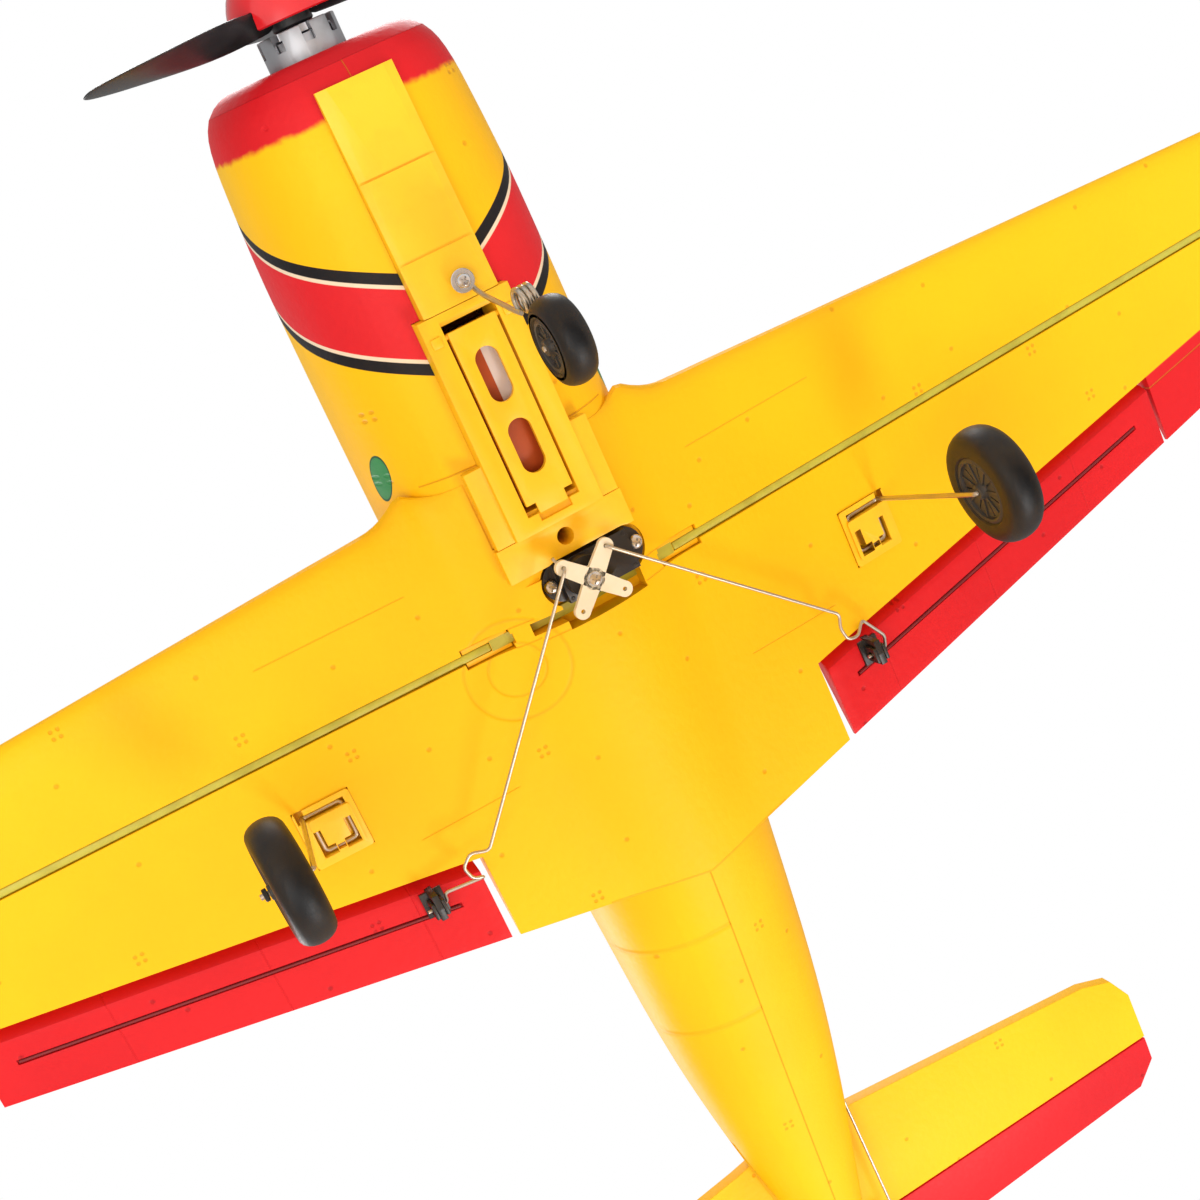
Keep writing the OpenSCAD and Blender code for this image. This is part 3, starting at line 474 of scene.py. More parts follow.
def wing_foam():
    """The wing's foam, red behind the hinge line outside the ailerons, with its moulded rings."""
    foam = moulded_foam("wing_foam", YELLOW, YELLOW_DEEP, YELLOW_SEAM)
    span = abs(foam.x)
    behind = foam.y - (HINGE_BEHIND - HINGE_SWEEP * span)
    outer = foam.rise(span, AILERON_OUT + 0.9, AILERON_OUT + 1.2)
    red = outer * foam.rise(behind, -0.2, 0.2)
    foam.colour = foam.blend(red, foam.colour, RED)
    bevel = foam.line(behind, 4, 0.5) * outer
    below = foam.under(foam.z - span * RISE, 1.5, 0.3)
    ring = foam.distance(foam.x, foam.y, (-27, 9))
    rings = foam.most(foam.line(ring, 15, 0.8, 0.5), foam.line(ring, 8, 0.6, 0.4)) * below
    seams = foam.most(
        foam.line(foam.y, -24.5, 0.35) * foam.rise(span, 46, 47) * foam.under(span, 92, 0.5),
        foam.line(abs(foam.y), 3.1, 0.4) * foam.rise(span, 17.4, 17.6) * foam.under(span, 24.6),
        foam.line(foam.y, 4.2, 0.4) * foam.under(span, 17.4),
        foam.rise(foam.y - TRAIL_BEHIND + TRAIL_SWEEP * span, -0.7, -0.5) * foam.under(span, 31),
        foam.line(foam.y - span * 0.03, 40, 0.3) * foam.rise(span, 40, 41) * foam.under(span, 72, 0.5))
    seams = seams * below
    foam.colour = foam.blend(foam.most(rings * 0.22, seams * 0.3, bevel * 0.5), foam.colour, YELLOW_SEAM)
    foam.height = foam.height - rings * 0.8 - seams * 0.7 - bevel * 1.0
    return foam.done(FOAM_BUMP)


def aileron_foam():
    """Red foam with faint ribs that follow the chord."""
    foam = moulded_foam("aileron_foam", RED, RED_DEEP, RED_SEAM)
    ribs = foam.line(foam.math("PINGPONG", abs(foam.x) - 60, 22), 22, 0.4)
    foam.height = foam.height - ribs * 0.6
    return foam.done(FOAM_BUMP)


def fuselage_foam():
    """The fuselage's foam: a red nose with a sprayed edge, panel lines, and a plain trim band."""
    foam = moulded_foam("fuselage_foam", YELLOW, YELLOW_DEEP, YELLOW_SEAM)
    centre_z, girth_radius = 33, 37.5
    # distance round the body from the middle of its belly
    round_body = foam.math("ARCTAN2", abs(foam.x), centre_z - foam.z) * girth_radius
    y = foam.y

    # plain trim: a slanted red band with dark edges and cream pinstripes, run round the nose
    slant = y + round_body * 0.5
    band_middle, band_half, edge, pinstripe = -85, 15, 3.5, 1.2
    off_middle = abs(slant - band_middle)
    colour = foam.blend(foam.under(off_middle, band_half), foam.colour, INK)
    colour = foam.blend(foam.under(off_middle, band_half - edge), colour, CREAM)
    colour = foam.blend(foam.under(off_middle, band_half - edge - pinstripe), colour, TRIM_RED)

    badge = foam.distance(y, round_body, (-54.5, 43.5), 28, 1.7)
    colour = foam.blend(foam.under(badge, 7.6), colour, tint(30, 84, 52))
    colour = foam.blend(foam.under(badge, 6.9), colour, tint(58, 140, 84))

    spray = foam.noise(5, 3) * 3
    nose = foam.under(y + spray, -147.2, 1.0)
    colour = foam.blend(nose, colour, RED)

    belly = foam.rise(-1 * foam.z, -40, -30)
    cone = foam.rise(y, 96, 96.4)
    ridges = foam.most(foam.line(y, 115, 1.4, 0.8), foam.line(y, 150, 1.4, 0.8))
    ridges = ridges * foam.under(foam.x, 0) * cone * belly
    seams = foam.most(foam.line(foam.x, 0, 0.35), foam.line(y, -49.8, 0.4) * foam.under(foam.z, 6))
    foam.colour = foam.blend(foam.most(seams * 0.5, ridges * 0.14), colour, YELLOW_SEAM)
    foam.height = foam.height - seams * 0.8 + ridges * 1.6
    return foam.done(FOAM_BUMP)


def plastic(name, colour, roughness, grain=0.5, wear=None, size=0.8, **constants):
    """Moulded plastic: a fine grain, a slow change of sheen, and a paler or darker drift of colour."""
    shell = Finish(name, colour, roughness, **constants)
    drift = shell.rise(shell.noise(9, 3), 0.4, 0.75)
    fine = shell.noise(size, 4, 0.6)
    other = wear or tuple(min(1, c * 0.8) for c in colour[:3]) + (1,)
    shell.colour = shell.blend(drift * 0.5, colour, other)
    shell.roughness = roughness - 0.06 + fine * 0.12 + drift * 0.05
    shell.height = fine * grain
    return shell


def metal(name, colour, roughness, brushed=(1, 1, 1), tarnish=None):
    """Bare metal with fine drawing marks along it and slow tarnish."""
    bar = Finish(name, colour, roughness, Metallic=1.0)
    marks = bar.noise(0.5, 3, 0.6, brushed)
    stain = bar.rise(bar.noise(6, 3), 0.45, 0.8)
    bar.colour = bar.blend(stain * 0.4, colour, tarnish or tuple(c * 0.6 for c in colour[:3]) + (1,))
    bar.roughness = roughness + marks * 0.16 + stain * 0.08
    bar.height = marks * 0.15
    return bar.done(METAL_BUMP)


def tyre_rubber():
    rubber = Finish("tyre_rubber", tint(38, 35, 34), 0.5, Specular_IOR_Level=0.45)
    dust = rubber.rise(rubber.noise(4, 4), 0.45, 0.75)
    pores = rubber.noise(0.5, 4, 0.7)
    rubber.colour = rubber.blend(dust * 0.4, tint(34, 31, 30), tint(50, 47, 45))
    rubber.roughness = 0.36 + pores * 0.22 + dust * 0.08
    rubber.height = pores * 0.6
    return rubber.done()


def joiner_plastic():
    """The spar's joiner: lime like the rods, under yellow covers at its two ends."""
    bar = plastic("joiner_plastic", LIME, 0.42, 0.5, LIME_DEEP)
    bare = bar.least(bar.under(abs(bar.x), 30.5), bar.under(abs(bar.y), 1.7))
    bar.colour = bar.blend(bare, tint(250, 190, 6), bar.colour)
    return bar.done()


def battery_wrap():
    """Brown shrink wrap with a plain white label."""
    wrap = plastic("battery_wrap", tint(178, 74, 24), 0.4, 0.4, tint(150, 56, 16))
    label = inside_box(wrap, (0.4, -84), (7, -57))
    wrap.colour = wrap.blend(label, wrap.colour, tint(226, 214, 212))
    return wrap.done()


def inside_box(finish, low, high):
    """1 inside a box in x and y."""
    sides = []
    for place, start, end in zip((finish.x, finish.y), low, high):
        sides.append(finish.least(finish.rise(place, start - 0.1, start + 0.1), finish.under(place, end)))
    return finish.least(*sides)


def smoked_plastic():
    glass = Finish("canopy_plastic", tint(52, 66, 78), 0.08, Coat_Weight=0.6, Coat_Roughness=0.04)
    haze = glass.rise(glass.noise(25, 3), 0.4, 0.8)
    glass.colour = glass.blend(haze * 0.5, tint(46, 60, 74), tint(74, 90, 102))
    glass.roughness = 0.06 + haze * 0.06 + glass.noise(1.5, 3) * 0.03
    return glass.done()


# ---- shapes shared by the pieces ----

HALF_SPAN = 300
DIHEDRAL = 6.5
RISE = math.tan(math.radians(DIHEDRAL))
THICKNESS = 0.11
HINGE_BEHIND, HINGE_SWEEP = 64.2, 0.151
TRAIL_BEHIND, TRAIL_SWEEP = 93, 0.18
AILERON_IN, AILERON_OUT = 61.3, 207
TIP_START = HALF_SPAN - 30
HORN_X = 76.9
SERVO_ARM = 9.6


def leading(x):
    return -47.6 + 0.069 * x


def trailing(x):
    return TRAIL_BEHIND - TRAIL_SWEEP * x


def hinge(x):
    return HINGE_BEHIND - HINGE_SWEEP * x


def tip_scale(x):
    return 1 if x <= TIP_START else math.sqrt(max(0, 1 - 0.94 * ((x - TIP_START) / 30) ** 2))


def lower_height(s):
    return 0.04 * (1 - math.sqrt(s / 0.14)) ** 2 if s < 0.14 else 0


def upper_height(x, s):
    bulge = 5 * (0.2969 * math.sqrt(s) - 0.126 * s - 0.3516 * s**2 + 0.2843 * s**3 - 0.1036 * s**4)
    return lower_height(s) + 2 * THICKNESS * bulge + 1.2 * s / (trailing(x) - leading(x))


def wing_point(x, s, upper):
    """A point on the wing at span x and share s of its chord."""
    scale, chord = tip_scale(x), trailing(x) - leading(x)
    middle = (leading(x) + trailing(x)) / 2 - 0.12 * chord
    height = upper_height(x, s) if upper else lower_height(s)
    return Vector((x, middle + (leading(x) + s * chord - middle) * scale,
                   x * RISE + 0.04 * chord * (1 - scale) + height * chord * scale))


WIDTH = [(-165, 27), (-161, 32), (-154, 35), (-140, 36.6), (-110, 38), (-40, 38), (0, 37.3),
         (50, 34.6), (100, 31.3), (160, 27.3), (200, 22), (245, 13.5), (281, 5.5)]
TOP = [(-165, 60), (-161, 65), (-154, 68.3), (-140, 70), (-110, 71.5), (-40, 74), (50, 74),
       (100, 72), (160, 68.5), (200, 66), (245, 63), (281, 60)]
BELLY = [(-165, 6), (-161, 1), (-154, -2), (-140, -3.6), (-110, -5), (-40, -5.5), (0, -5),
         (50, -1.5), (91, 1.8), (175, 20.5), (245, 35), (281, 43)]
MIDDLE = [(-165, 33), (-40, 33), (50, 34), (100, 36), (160, 42), (200, 46), (245, 50), (281, 52)]
SQUARENESS = 2.25


def along(line, y):
    """The value at y on a line of (y, value) points, eased so that the body has no kinks."""
    line = [line[0], *line, line[-1]]
    for k in range(1, len(line) - 2):
        (ya, a), (yb, b) = line[k], line[k + 1]
        if y <= yb or k == len(line) - 3:
            t = min(1, max(0, (y - ya) / (yb - ya)))

            def slope(i):
                (y0, v0), (y1, v1) = line[max(1, i - 1)], line[min(len(line) - 2, i + 1)]
                return (v1 - v0) / (y1 - y0)
            m0, m1 = slope(k) * (yb - ya), slope(k + 1) * (yb - ya)
            eased = ((2 * t**3 - 3 * t**2 + 1) * a + (t**3 - 2 * t**2 + t) * m0
                     + (3 * t**2 - 2 * t**3) * b + (t**3 - t**2) * m1)
            straight = a + (b - a) * t
            return max(min(eased, straight + 0.6), straight - 0.6)


def body_point(y, angle, inset=0.0):
    """A point of the fuselage's section: 0 degrees is out to port and -90 the middle of the belly."""
    c, s = bearing(angle)
    middle = along(MIDDLE, y)
    height = (along(TOP, y) - middle if s > 0 else middle - along(BELLY, y)) - inset
    power = 2 / SQUARENESS
    return Vector((max(0, c) ** power * (along(WIDTH, y) - inset), y,
                   middle + math.copysign(abs(s) ** power, s) * height))


def belly_height(x, y):
    """Height of the fuselage's underside at x, or very high beside the body."""
    width, middle = along(WIDTH, y), along(MIDDLE, y)
    if abs(x) >= width:
        return middle + 2 * (abs(x) - width)
    down = middle - along(BELLY, y)
    return middle - down * (1 - (abs(x) / width) ** SQUARENESS) ** (1 / SQUARENESS)


def melt(first, second, reach):
    """The lower of two heights, with a fillet where they cross."""
    h = max(0, reach - abs(first - second)) / reach
    return min(first, second) - h * h * reach / 4


def in_panel(piece):
    """Turns a piece that lies on a level port wing up to the wing's dihedral."""
    return turn(piece, -DIHEDRAL, "Y")


# ---- wing ----

def wing_stations():
    near = [x * 2.5 for x in range(20)]
    out = [50 + x * 8 for x in range(28)]
    tip = [274, 278, 282, 286, 289, 292, 294.5, 296.5, 298, 299.2, 300]
    half = near + out + tip
    return [-x for x in reversed(half[1:])] + half


def wing_row(x):
    span = abs(x)
    upper = [1 - k / 26 for k in range(21)] + [0.19, 0.15, 0.11, 0.08, 0.055, 0.033, 0.018, 0.008, 0.002]
    lower = [0, 0.004, 0.012, 0.025, 0.045, 0.07, 0.1] + [0.14 + 0.86 * k / 26 for k in range(27)]
    row = []
    for shares, is_upper in ((upper, True), (lower, False)):
        for s in shares:
            point = wing_point(span, s, is_upper)
            if span < 60:
                # a fillet where the leading edge meets the body
                point.y -= 5 * max(0, 1 - abs(span - 36) / 13) ** 2 * max(0, 1 - s / 0.12)
            if span < 60 and not is_upper:
                point.z = melt(point.z, belly_height(span, point.y), 7) - 0.25
            row.append(Vector((x, point.y, point.z)))
    return row + [row[0]]


def make_wing():
    wing = skin("wing_panels", [wing_row(x) for x in wing_stations()])
    cutters = []
    for side in SIDES.values():
        notch = add("cube", "notch", size=2)
        leave()
        x0, x1 = AILERON_IN - 2.5, AILERON_OUT + 1.5
        for vertex in notch.data.vertices:
            x = x0 if vertex.co.x < 0 else x1
            vertex.co = (x, hinge(x) if vertex.co.y < 0 else 110, 60 if vertex.co.z > 0 else -20)
        cutters.append(mirrored(notch, side))
        slot = in_panel(block("slot", (24, -1.5, -6), (HALF_SPAN - 18, 1.5, 3.2)))
        wide = in_panel(block("wide", (24.6, -3.1, -6), (39.6, 3.1, 3.3)))
        pocket = move(turn(block("pocket", (-8.8, -9.3, -8), (8.8, 9.3, 5.1)), -DIHEDRAL, "Y"),
                      92.7, 26.8, 92.7 * RISE)
        cutters += [mirrored(slot, side), mirrored(wide, side), mirrored(pocket, side)]
    ends = [move(rod("end", 7, (0, 0, -12), 12.4), 5 + s * 10.2, -8.8, 0) for s in (-1, 1)]
    cut(wing, *cutters, *ends,
        block("servo_slot", (-5.2, -15.8, -12), (15.2, -1.8, 0.4)),
        block("servo_well", (-7, -15.4, -2), (17, -2.2, 12)),
        block("joiner_well", (-19, -2, -12), (-8.5, 1.9, 3.4)),
        block("horn_well", (-9, -3, -12), (17, 4.6, 3.4)),
        block("plate_bed", (-20.1, -26.1, -12), (20.1, -12.4, -3.2)),
        block("tongue", (-19.65, -80, -30), (19.65, -26, 30)),
        rod("boss_hole", 4.6, (0, -21, -12), 20))
    smooth(wing, 28)
    hand_over(wing, "airframe", FOAM_WING, "wing")


def make_spars():
    for name, side in SIDES.items():
        bar = block(f"spar_rod_{name}", (31, -1.25, 0.55), (HALF_SPAN - 19, 1.25, 2.9), 0.55, 3)
        hand_over(smooth(mirrored(in_panel(bar), side)), "airframe", SPAR, f"spar_{name}")
    cad_piece("spar_joiner", "spar_joiner_plate", "airframe", JOINER, 0.35)


def aileron_row(x):
    chord = trailing(x) - leading(x)
    front = (hinge(x) + 0.3 - leading(x)) / chord
    foot = (hinge(x) + 4 - leading(x)) / chord
    row = [wing_point(x, front + (1 - front) * k / 14, True) for k in range(15)]
    row += [wing_point(x, 1 - (1 - foot) * k / 10, False) for k in range(11)]
    return row + [row[0]]


def make_aileron(name, side):
    count = 36
    rows = [aileron_row(AILERON_IN + (AILERON_OUT - AILERON_IN) * k / count) for k in range(count + 1)]
    flap = skin(f"aileron_foam_{name}", rows)
    ends = [(70, 12.0), (198, 11.4)]
    groove = skin("groove", [[Vector((x, hinge(x) + back + a, x * RISE + b))
                              for a, b in ((-0.8, -1), (0.8, -1), (0.8, 1), (-0.8, 1), (-0.8, -1))]
                             for x, back in ends])
    cut(flap, groove, block("horn_slot", (75.8, 56.1, 0), (78, 64.3, 10.3)))
    soften(flap, 0.45, 2, 34)
    stay = wire("stay", [Vector((x + lean, hinge(x) + back, x * RISE + 0.25))
                         for (x, back), lean in zip(ends, (0.6, -0.6))], 0.5)
    hand_over(mirrored(flap, side), f"aileron_{name}", FOAM_AILERON, f"aileron_{name}")
    stay.name = stay.data.name = f"aileron_stiffener_{name}"
    hand_over(mirrored(stay, side), f"aileron_{name}", DARK_RED)
    horn = from_cad(f"aileron_horn_{name}", f"control_horn_{name}", 0.22)
    cheeks = []
    for near, far in ((-2.2, -1.05), (1.05, 2.2)):
        cheek = block("clip", (HORN_X + near, 58.2, 0.9), (HORN_X + far, 63.2, 6.9), 0.3)
        cheek = cut(cheek, rod("bore", 1.35, (HORN_X - 3, 60.7, 3.8), 6, "X"))
        cheeks.append(smooth(mirrored(cheek, side)))
    horn = join(f"control_horn_{name}", horn, *cheeks)
    hand_over(horn, f"aileron_{name}", BLACK, f"aileron_horn_{name}")


# ---- fuselage ----

def saddle_cutter(x0, x1, y0, y1):
    """A prism below the middle of the wing's thickness, so that the wing closes the body there."""
    root, rows = 20, []
    chord = trailing(root) - leading(root)
    for x in (x0, x1):
        row = [Vector((x, y1, -30)), Vector((x, y0, -30))]
        for k in range(13):
            y = y0 + (y1 - y0) * k / 12
            s = max(0.005, (y - leading(root)) / chord)
            row.append(Vector((x, y, root * RISE + upper_height(root, s) * chord * 0.5)))
        rows.append(row + [row[0]])
    return skin("saddle", rows)


def make_fuselage():
    stations = ([-161, -158.5, -156, -153, -149] + list(range(-145, 200, 5))
                + list(range(200, 281, 4)) + [281])
    angles = [-90 + 3.75 * k for k in range(49)]
    wall = 3.4
    for name, side in SIDES.items():
        rows = []
        for y in stations:
            row = [body_point(y, a) for a in angles] + [body_point(y, a, wall) for a in reversed(angles)]
            rows.append(row + [row[0]])
        shell = skin(f"fuselage_shell_{name}", rows)
        mirrored(shell, side)
        cut(shell,
            block("bay", (-13.95, -92, -30), (13.95, -27, 6)),
            block("strip_bed", (-11.5, -159, -30), (11.5, -91.8, -1.95)),
            block("cockpit", (-17, -38, 62), (17, 70, 110)),
            saddle_cutter(-60, 60, -26.2, 85.5),
            saddle_cutter(19.65 if side > 0 else -60, 60 if side > 0 else -19.65, -46, -26),
            block("tail_slot", (-40, 219, 51.4), (40, 266, 56.6)),
            block("fin_slot", (-1.6, 210, 58), (1.6, 290, 90)),
            block("rod_exit", (14, 160, 42.4), (34, 240, 48.4)) if side > 0 else
            block("rod_exit", (-30, 205, 43.4), (-7.5, 285, 49.4)))
        smooth(shell, 30)
        hand_over(shell, "airframe", FOAM_BODY, f"fuselage_{name}")


def make_cowl_ring():
    angles = [k * 5 for k in range(73)]

    def row(y, inset, round_to=0.0, radius=23.0):
        points = []
        for a in angles:
            folded = a if a <= 90 else 180 - a if a <= 270 else a - 360
            point = body_point(max(y, -165), folded, inset)
            if 90 < a < 270:
                point.x = -point.x
            c, s = bearing(a)
            circle = Vector((radius * c, y, 33 + radius * s))
            points.append(Vector((point.x, y, point.z)).lerp(circle, round_to))
        return points
    rows = [row(-161.05, 0), row(-163.2, 0), row(-164.4, 0.6), row(-164.9, 1.8), row(-165, 3.4),
            row(-164.9, 0, 0.75, 24), row(-164.4, 0, 1, 23.8), row(-163.4, 0, 1, 23.1),
            row(-161.05, 0, 1, 23), row(-161.05, 0)]
    ring = skin("cowl_ring_foam", rows, closed=True, capped=False)
    hand_over(smooth(ring, 50), "airframe", FOAM_RED, "cowl_ring")


def make_belly():
    strip = from_cad("belly_strip", "belly_strip_cover")
    cut(strip, *[block("seam", (-14, y - 0.3, -12), (14, y + 0.3, depth)) for y, depth in
                 ((-130.5, -5.2), (-107.3, -7.3))])
    soften(strip, 0.35, 2, 25)
    hand_over(strip, "airframe", YELLOW_PLASTIC, "belly_strip")

    cradle = from_cad("hatch_frame", "hatch_cradle", 0.4)
    nubs = [block("nub", (x - 1.6, -86.6, -9.6), (x + 1.6, -83.6, -8.4), 0.4) for x in (-11, 11)]
    cradle = join("hatch_cradle", cradle, *[smooth(nub) for nub in nubs])
    hand_over(cradle, "airframe", YELLOW_PLASTIC, "hatch_frame")

    cad_piece("battery_hatch", "battery_hatch_cover", "hatch", YELLOW_PLASTIC, 0.35)
    cad_piece("wing_bolt_plate", "belly_plate", "airframe", YELLOW_PLASTIC, 0.3)
    cad_piece("battery_pack", "battery", "airframe", BATTERY, 1.6, 3)


# ---- screws, servo and linkage ----

def cross_screw(name, centre, head, depth, shank, length, washer=0.0):
    """A pan head with a cross in it, its head downwards at the centre and its shank up into the hole."""
    x, y, z = centre
    r = head / 2
    dome = [(0, 0), (r * 0.55, 0.05), (r * 0.8, 0.2 * depth), (r * 0.95, 0.5 * depth), (r, 0.8 * depth),
            (r, depth), (shank / 2, depth), (shank / 2, depth + length), (0, depth + length)]
    screw = turned(name, dome, centre, steps=48)
    arms = []
    for degrees in (35, 125):
        arm = block("arm", (-r * 0.56, -r * 0.13, -1), (r * 0.56, r * 0.13, depth * 0.62), 0.04, 1)
        arms.append(move(turn(arm, degrees, "Z"), x, y, z))
    cut(screw, *arms)
    if washer:
        w = washer / 2
        disc = turned("washer", [(shank / 2 + 0.1, 0), (w - 0.15, 0), (w, 0.15), (w, 0.55), (w - 0.15, 0.7),
                                 (shank / 2 + 0.1, 0.7)], (x, y, z + depth), steps=48)
        screw = join(name, screw, disc)
    return smooth(screw, 40)


def make_servo():
    case = from_cad("aileron_servo", "servo_case", 0.3)
    screws = [cross_screw("case_screw", (x, y, -6.35), 1.5, 0.35, 0.8, 0.4)
              for x in (-5.4, 15.4) for y in (-13.7, -3.9)]
    case = join("servo_case", case, *screws)
    hand_over(case, "airframe", SERVO_BLACK, "aileron_servo")
    ears = [cross_screw("ear", (5 + s * 13.9, -8.8, -3.75), 4.4, 1.5, 1.9, 6.4) for s in (-1, 1)]
    hand_over(join("ear_screws", *ears), "airframe", CHROME, "servo_screws")


def make_servo_horn():
    """Four tapered arms round a hub, each arm with a round end and its hole."""
    reach, low, thick = SERVO_ARM, -15.7, 1.6
    arms = []
    for a in (45, 135, 225, 315):
        arm = block("arm", (0, -2.7, low), (reach, 2.7, low + thick))
        edit(arm)
        pick(lambda place: place.x > reach - 0.1)
        bpy.ops.transform.resize(value=(1, 0.83, 1), center_override=(reach, 0, low))
        leave()
        end = rod("end", 2.3, (reach, 0, low), thick)
        arm = cut(arm, end, operation="UNION")
        cut(arm, rod("hole", 0.65, (reach, 0, low - 1), 4))
        arms.append(turn(arm, a, "Z"))
    star = arms[0]
    for arm in arms[1:]:
        cut(star, arm, operation="UNION")
    hub = turned("hub", [(0, 0), (3.1, 0), (3.3, 0.2), (3.3, 4), (3.1, 4.2), (0, 4.2)], (0, 0, low), steps=48)
    cut(star, hub, operation="UNION")
    cut(star, rod("well", 2.35, (0, 0, low + 1.8), 5), rod("bore", 1.15, (0, 0, low - 1), 5))
    star.name = star.data.name = "servo_cross_horn"
    soften(move(star, 0, SERVO_AXIS.y, 0), 0.22, 2, 30)
    hand_over(star, "servo_horn", NYLON, "servo_horn")
    screw = cross_screw("horn_screw", (0, SERVO_AXIS.y, low - 1.35), 4.4, 1.35, 1.9, 1.6)
    hand_over(screw, "servo_horn", CHROME, "servo_horn_screw")


ROD_RADIUS = 0.5
HOLE = SERVO_ARM * math.cos(math.radians(45))
FRONT = SERVO_AXIS.y - HOLE
PUSHROD_ROUTES = {
    "left": [(HOLE - 3.4, FRONT + 1.6, -13.2), (HOLE, FRONT, -13.3), (HOLE, FRONT, -17), (67.4, 41, -3.2),
             (66, 45.2, -3.2), (67, 49.6, -3), (70.6, 50.4, -2.6), (73.8, 46.6, -2), (80, 55.8, 1),
             (80, 60.7, 3.8), (73.6, 60.7, 3.8)],
    "right": [(-HOLE - 1.2, FRONT - 3.4, -13.2), (-HOLE, FRONT, -13.3), (-HOLE, FRONT, -17),
              (-57.6, 50.6, -3), (-63, 48.6, -2.8), (-66.4, 51.6, -2.6), (-65.2, 56, -2.2),
              (-61.6, 57.4, -1.8), (-73.8, 57, 1.6), (-73.8, 60.7, 3.8), (-80.2, 60.7, 3.8)],
}


def make_pushrods():
    for name, route in PUSHROD_ROUTES.items():
        link = wire(f"aileron_rod_{name}", rounded(route, 1.5), ROD_RADIUS)
        hand_over(link, f"pushrod_{name}", STEEL, f"pushrod_{name}")


# ---- undercarriage ----

MAIN_X, MAIN_Y, MAIN_WIDTH, MAIN_R = 111.8, 16.1, 11, 17.75
NOSE_X, NOSE_Y, NOSE_WIDTH, NOSE_R = 10.8, -76.8, 9.4, 12.25
GROUND = -56.5


def tyre_profile(radius, width, bead):
    """A round crown over slightly swollen walls, its middle point set at the full radius."""
    half = width / 2
    points = [(bead, -half + 0.5), (bead + 0.5, -half), (bead + 1.6, -half)]
    wall = radius - half * 0.82
    points += [(wall, -half)]
    for k in range(1, 12):
        a = math.pi * k / 12
        points.append((wall + (radius - wall) * math.sin(a) ** 0.8, -half * math.cos(a)))
    middle = len(points) - 6
    points[middle] = (radius, 0)
    points += [(wall, half), (bead + 1.6, half), (bead + 0.5, half), (bead, half - 0.5)]
    return points


def make_wheel(name, centre, radius, width, bead, slots):
    cx, cy, cz = centre
    bore = 0.85
    tyre = turned(f"{name}_tyre_rubber", tyre_profile(radius, width, bead), centre, "X", 96)
    hand_over(tyre, name, RUBBER, name.replace("wheel", "tyre"))
    half, rim = width / 2, bead - 0.05
    dish = half - 1.2
    profile = [(bore, -half - 0.6), (1.9, -half - 0.6), (2.2, -half - 0.3), (2.3, -half + 0.4), (2.9, -dish),
               (rim - 1.7, -dish), (rim - 1.4, -half + 0.35), (rim - 0.9, -half + 0.15), (rim, -half + 0.5)]
    profile += [(r, -a) for r, a in reversed(profile)]
    hub = turned(f"{name}_hub_disc", profile, centre, "X", 72)
    cutters = []
    for k in range(slots):
        for side in (-1, 1):
            groove = block("groove", (-0.6, -0.28, rim * 0.36), (0.6, 0.28, rim * 0.8))
            turn(groove, 360 * k / slots, "X")
            cutters.append(move(groove, cx + side * (dish + 0.1), cy, cz))
    cut(hub, join("grooves", *cutters))
    ribs = []
    for k in range(slots // 2):
        for side in (-1, 1):
            rib = block("rib", (-0.35, -0.3, 2.2), (0.35, 0.3, rim - 1.6), 0.1, 1)
            turn(rib, 360 * (k + 0.5) / slots * 2, "X")
            ribs.append(move(rib, cx + side * (dish + 0.12), cy, cz))
    hub = join(f"{name}_hub_disc", hub, *ribs)
    hand_over(smooth(hub, 32), name, HUB, name.replace("wheel", "hub"))


def make_wheels():
    for name, side in SIDES.items():
        make_wheel(f"main_wheel_{name}", (side * MAIN_X, MAIN_Y, GROUND + MAIN_R),
                   MAIN_R, MAIN_WIDTH, bead=10.3, slots=14)
    make_wheel("nose_wheel", (NOSE_X, NOSE_Y, GROUND + NOSE_R), NOSE_R, NOSE_WIDTH, bead=7.6, slots=12)


def make_main_gear(name, side):
    cad_piece(f"gear_block_{name}", f"gear_plate_{name}", "airframe", YELLOW_PLASTIC, 0.3)
    inner, sink = MAIN_X - MAIN_WIDTH / 2 - 1.1, 1.05
    hook = [(97.1, 25.6), (97.1, 32.35), (87.2, 32.35), (87.2, 20.3), (99.5, 20.3)]
    c, s = bearing(DIHEDRAL)
    block_z = 92.7 * RISE
    path = [(92.7 + (x - 92.7) * c - sink * s, y, block_z + (x - 92.7) * s + sink * c) for x, y in hook]
    axle_z = GROUND + MAIN_R
    path += [(99.6, 19.6, 6), (inner - 0.2, MAIN_Y, axle_z), (inner + 1.5, MAIN_Y, axle_z)]
    leg = wire("leg", rounded(path, 1.6, 6), 0.75)
    axle = rod("axle", 0.8, (inner + 0.4, MAIN_Y, axle_z), MAIN_WIDTH + 3.8, "X", 32, 0.2)
    leg = mirrored(join(f"wire_leg_{name}", leg, axle), side)
    hand_over(leg, "airframe", STEEL, f"main_leg_{name}")


